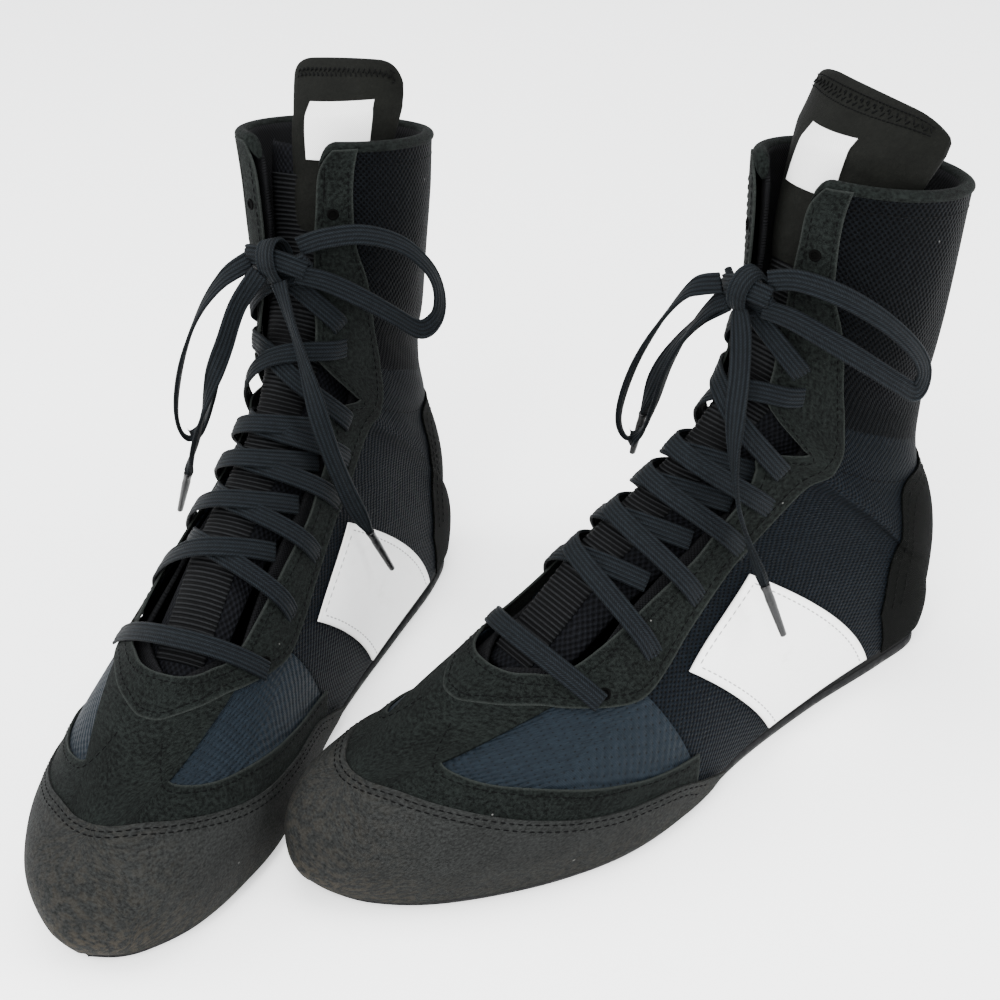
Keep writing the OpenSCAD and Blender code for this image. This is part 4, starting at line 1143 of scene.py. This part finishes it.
for boot in boots:
    bm = bmesh.new()
    s = np.linspace(-1, 1, 90)[:, None]
    t = np.linspace(-1, 1, 80)[None, :]
    s, t = np.broadcast_arrays(s, t)
    s = np.where(s > 0, s * top_edge(boot, t), s)
    t = across_head(boot, s, t)
    pillow(bm, boot, head_skin, s, t, head_thickness, 0.28)
    top = new_piece(f"{boot}_tongue_top", bm, head_fabric)
    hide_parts(f"{boot}_tongue_head")
    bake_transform(top)

    bm = bmesh.new()
    s = np.linspace(*label_s, 24)[:, None]
    t = label_middle[boot] + np.linspace(-label_half, label_half, 30)[None, :]
    s, t = np.broadcast_arrays(s, t)
    cloth_grid(bm, stand(boot, head_skin(s, t, head_thickness / 2 + 0.05)))
    bm.normal_update()
    outward = Vector(stand(boot, head_skin(0.4, 0, 5)) - stand(boot, head_skin(0.4, 0, 0)))
    if list(bm.faces)[0].normal.dot(outward) < 0:
        bmesh.ops.reverse_faces(bm, faces=bm.faces)
    label = stiffen(new_piece(f"{boot}_label", bm, label_weave), 0.5, 0.12)
    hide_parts(f"{boot}_tongue_label")
    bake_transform(label)

    bm = bmesh.new()
    way = np.linspace(-0.84, 0.84, 41)
    flip = np.where(np.arange(41) % 2, 0.08, -0.08)
    for share, zigzag in ((0.7, True), (0.58, False), (0.82, False)):
        s = (share + flip * zigzag) * top_edge(boot, way)
        t = across_head(boot, s, way)
        for k in range(40):
            sew(bm, boot, s[k:k + 2], t[k:k + 2], head_thickness / 2 - 0.1, form=head_skin)
    overlock = new_piece(f"{boot}_head_seams", bm, dark_thread)
    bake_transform(overlock)

# --- Lacing ---
# The lace crosses the tongue from eyelet to eyelet: it comes up through the stay, lies over
# the suede and dips under the stay on the other side.
lace_lift = 2.9


def crossing(u0, v0, u1, v1, middle):
    """A lace's stations, shares and heights from an eyelet, over the tongue, to under the far stay."""
    shares = np.array([-0.06, 0, 0.07, 0.16, 0.38, 0.58, 0.8, 1])
    heights = (0.2, 2.0, lace_lift + 0.2, lace_lift, 0.3 * lace_lift + 0.7 * middle, middle,
               0.4 * middle - 0.72, -1.6)
    return [(u0 + (u1 - u0) * k, v0 + (v1 - v0) * k, h) for k, h in zip(shares, heights)]


lace_rows = [[(6.73, 0.44 * k / 4, 2.3 + 0.2 * abs(k)) for k in (-4, -3, -2, -1, 0, 1, 2, 3, 4)]]
for u, v in eyelets[1:5]:
    lace_rows += [crossing(u, v, u + 0.62, -0.3, 1.9), crossing(u, -v, u + 0.62, 0.3, -0.6)]
lace_rows += [
    [(11.1, 0.32, 1.0), (11.2, 0.3, 3.2), (11.6, 0.22, 3.4), (12.1, 0.1, 3.0), (12.6, 0, 2.6),
     (13.2, -0.12, 2.6), (13.6, -0.19, 3.2), (13.9, -0.24, 1.4)],
    [(11.1, -0.32, 1.0), (11.2, -0.3, 3.2), (11.6, -0.22, 2.4), (12.1, -0.1, 0.6), (12.6, 0, 0.2),
     (13.2, 0.12, 1.2), (13.6, 0.19, 3.0), (13.9, 0.24, 1.4)],
    [(14.45, 0.215, 1.2), (14.6, 0.19, 3.9), (14.9, 0.12, 4.6), (15.3, 0.03, 5.2), (15.7, -0.06, 5.4)],
    [(14.45, -0.215, 1.2), (14.6, -0.19, 3.6), (14.9, -0.12, 3.4), (15.3, -0.03, 2.4), (15.7, 0.06, 2.6)],
]
for boot in boots:
    bm = bmesh.new()
    for row in lace_rows:
        u, v, height = smooth_line(row, 10).T
        lace_skin(bm, boot, skin(u, v, height), normal_at(upper, u, v))
    close_lace(bm)
    lacing = new_piece(f"{boot}_lacing", bm, lace_braid)
    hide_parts(f"{boot}_lace_rows_lower", f"{boot}_lace_rows_ankle", f"{boot}_lace_rows_upper")
    bend_at_ankle(lacing)

# --- Sole ---
# A thin flat rubber outsole with a fine tread, cemented under a strip of black foam; a
# fibre board and a fabric-covered sockliner lie above it, inside the boot.
outsole_top = 3.6
tread_depth = 0.9
tread_pitch = 5.0

outsole_rubber, tree, shader, uv = new_material("outsole_rubber", roughness=0.7, specular_ior_level=0.1)
bloom = use(tree, fibres, Vector=solid(tree), Size=0.01)
paint(tree, shader, bloom["Shade"], (0.0025, 0.0025, 0.0028, 1), (0.009, 0.009, 0.0095, 1))
tree.links.new(fade(tree, bloom["Height"], 0.3, 0.7, 0.5, 0.75), shader["Roughness"])
bump(tree, shader, bloom["Height"], 0.0002)

midsole_foam = fibrous("midsole_foam", 0.0012, 0.0002, (0.0012, 0.0012, 0.0014, 1),
                       (0.006, 0.006, 0.0063, 1), roughness=0.8, specular_ior_level=0.08)
board_fibre = fibrous("board_fibre", 0.003, 0.0002, (0.3, 0.26, 0.2, 1), (0.5, 0.45, 0.36, 1),
                      roughness=0.9)

sock_fabric, tree, shader, uv = new_material("sock_fabric", roughness=0.9, specular_ior_level=0.15)
cloth = use(tree, pierced, Vector=uv, Pitch=0.0012, Stretch=1.0, Hole=0.35)
# Painted shade: the cloth's colour darkens in the holes of its weave.
paint(tree, shader, cloth["Height"], (0.002, 0.002, 0.0023, 1), (0.011, 0.011, 0.012, 1))
bump(tree, shader, cloth["Height"], 0.0003)


def sole_loft(boot, name, material, inset, low, high, tread=False):
    """A closed sole layer: at each station a flat loop runs under it, up its sides and over.
    low and high each hold a share of the upper's lasting edge and a height above that."""
    angle = np.linspace(0, math.pi, 150)
    u = (12 - 11.96 * (0.5 + 0.5 * np.cos(angle)) - 0.02)[:, None]
    outer, inner = upper(u[:, 0], 1.0), upper(u[:, 0], -1.0)
    middle = (outer + inner) / 2
    half = (outer - inner)[:, 1] / 2
    draw = np.maximum(half - inset, 0.15) / np.maximum(half, 0.3)
    x = middle[:, 0] + (146 - middle[:, 0]) * inset / 146
    across = np.concatenate([np.linspace(0.985, -0.985, 61), [-1, -0.985, -0.95],
                             np.linspace(-0.9, 0.9, 12), [0.95, 0.985, 1, 0.985]])
    up = np.concatenate([np.zeros(61), [0.5, 0.92, 1], np.ones(12), [1, 0.92, 0.5, 0]])
    y = middle[:, 1][:, None] + (half * draw)[:, None] * across[None, :]
    bottom, top = (share * read(edge_z, u) + rise for share, rise in (low, high))
    z = bottom + (top - bottom) * up[None, :]
    x = np.broadcast_to(x[:, None], z.shape)
    if tread:
        wave = np.cos(2 * math.pi * (x + 5 * np.abs(across)[None, :]) / tread_pitch)
        cut = (up[None, :] == 0) * (np.abs(across) < 0.94)[None, :] * (half > 6)[:, None]
        z = z + cut * tread_depth * np.clip(wave * 2 - 0.6, 0, 1)
    points = np.stack([x, y, z], -1)
    bm = bmesh.new()
    cloth_grid(bm, stand(boot, points), rim=np.ones(z.shape))
    close_lace(bm)
    return new_piece(f"{boot}_{name}", bm, material)


sole_layers = (
    ("tread_sole", "outsole", "outsole_rubber", outsole_rubber, 1.0, (0, 0), (0, outsole_top), True),
    ("foam_strip", "midsole", "midsole_foam", midsole_foam, 1.4, (0, outsole_top + 0.05), (1, 0.6), False),
    ("footbed", "sockliner", "sock_fabric", sock_fabric, 6.5, (1, 2.6), (1, 5.4), False),
)
for boot in boots:
    for name, part, slot, material, inset, low, high, tread in sole_layers:
        layer = sole_loft(boot, name, material, inset, low, high, tread)
        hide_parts(f"{boot}_{part}")
        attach(layer, f"{boot}_foot")
    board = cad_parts[f"{boot}_insole_board"]
    board.data.materials.clear()
    board.data.materials.append(board_fibre)

# --- Floor and light ---
# A pale seamless floor, one broad soft light over the camera's shoulder, one from each side
# and an even pale surround.
floor_paint, tree, shader, uv = new_material(
    "floor_paint", roughness=0.6, emission_color=(1, 1, 1, 1), emission_strength=0.7)
mottle = use(tree, fibres, Vector=solid(tree), Size=0.2)
paint(tree, shader, mottle["Shade"], (0.91, 0.91, 0.90, 1), (0.93, 0.93, 0.925, 1))
bm = bmesh.new()
bmesh.ops.create_grid(bm, x_segments=1, y_segments=1, size=40)
floor = new_piece("floor", bm, floor_paint)

surround = bpy.data.worlds.new("surround")
surround.use_nodes = True
surround.node_tree.nodes["Background"].inputs["Color"].default_value = (0.95, 0.97, 1.0, 1)
surround.node_tree.nodes["Background"].inputs["Strength"].default_value = 1.6
bpy.context.scene.world = surround
lights = (
    ("over_shoulder", (0.9, 1.0, 1.3), 1.2, 60),
    ("from_left", (1.1, -0.9, 0.9), 1.0, 31),
    ("from_right", (-0.9, 1.1, 0.8), 0.9, 26),
    ("from_above", (-0.1, -0.1, 1.6), 1.0, 21),
)
for name, place, size, power in lights:
    lamp = bpy.data.lights.new(name, "AREA")
    lamp.size = size
    lamp.energy = power
    stand_up = bpy.data.objects.new(name, lamp)
    stand_up.location = place
    stand_up.rotation_euler = (Vector((0, 0, 0.1)) - Vector(place)).to_track_quat("-Z", "Y").to_euler()
    bpy.context.scene.collection.objects.link(stand_up)
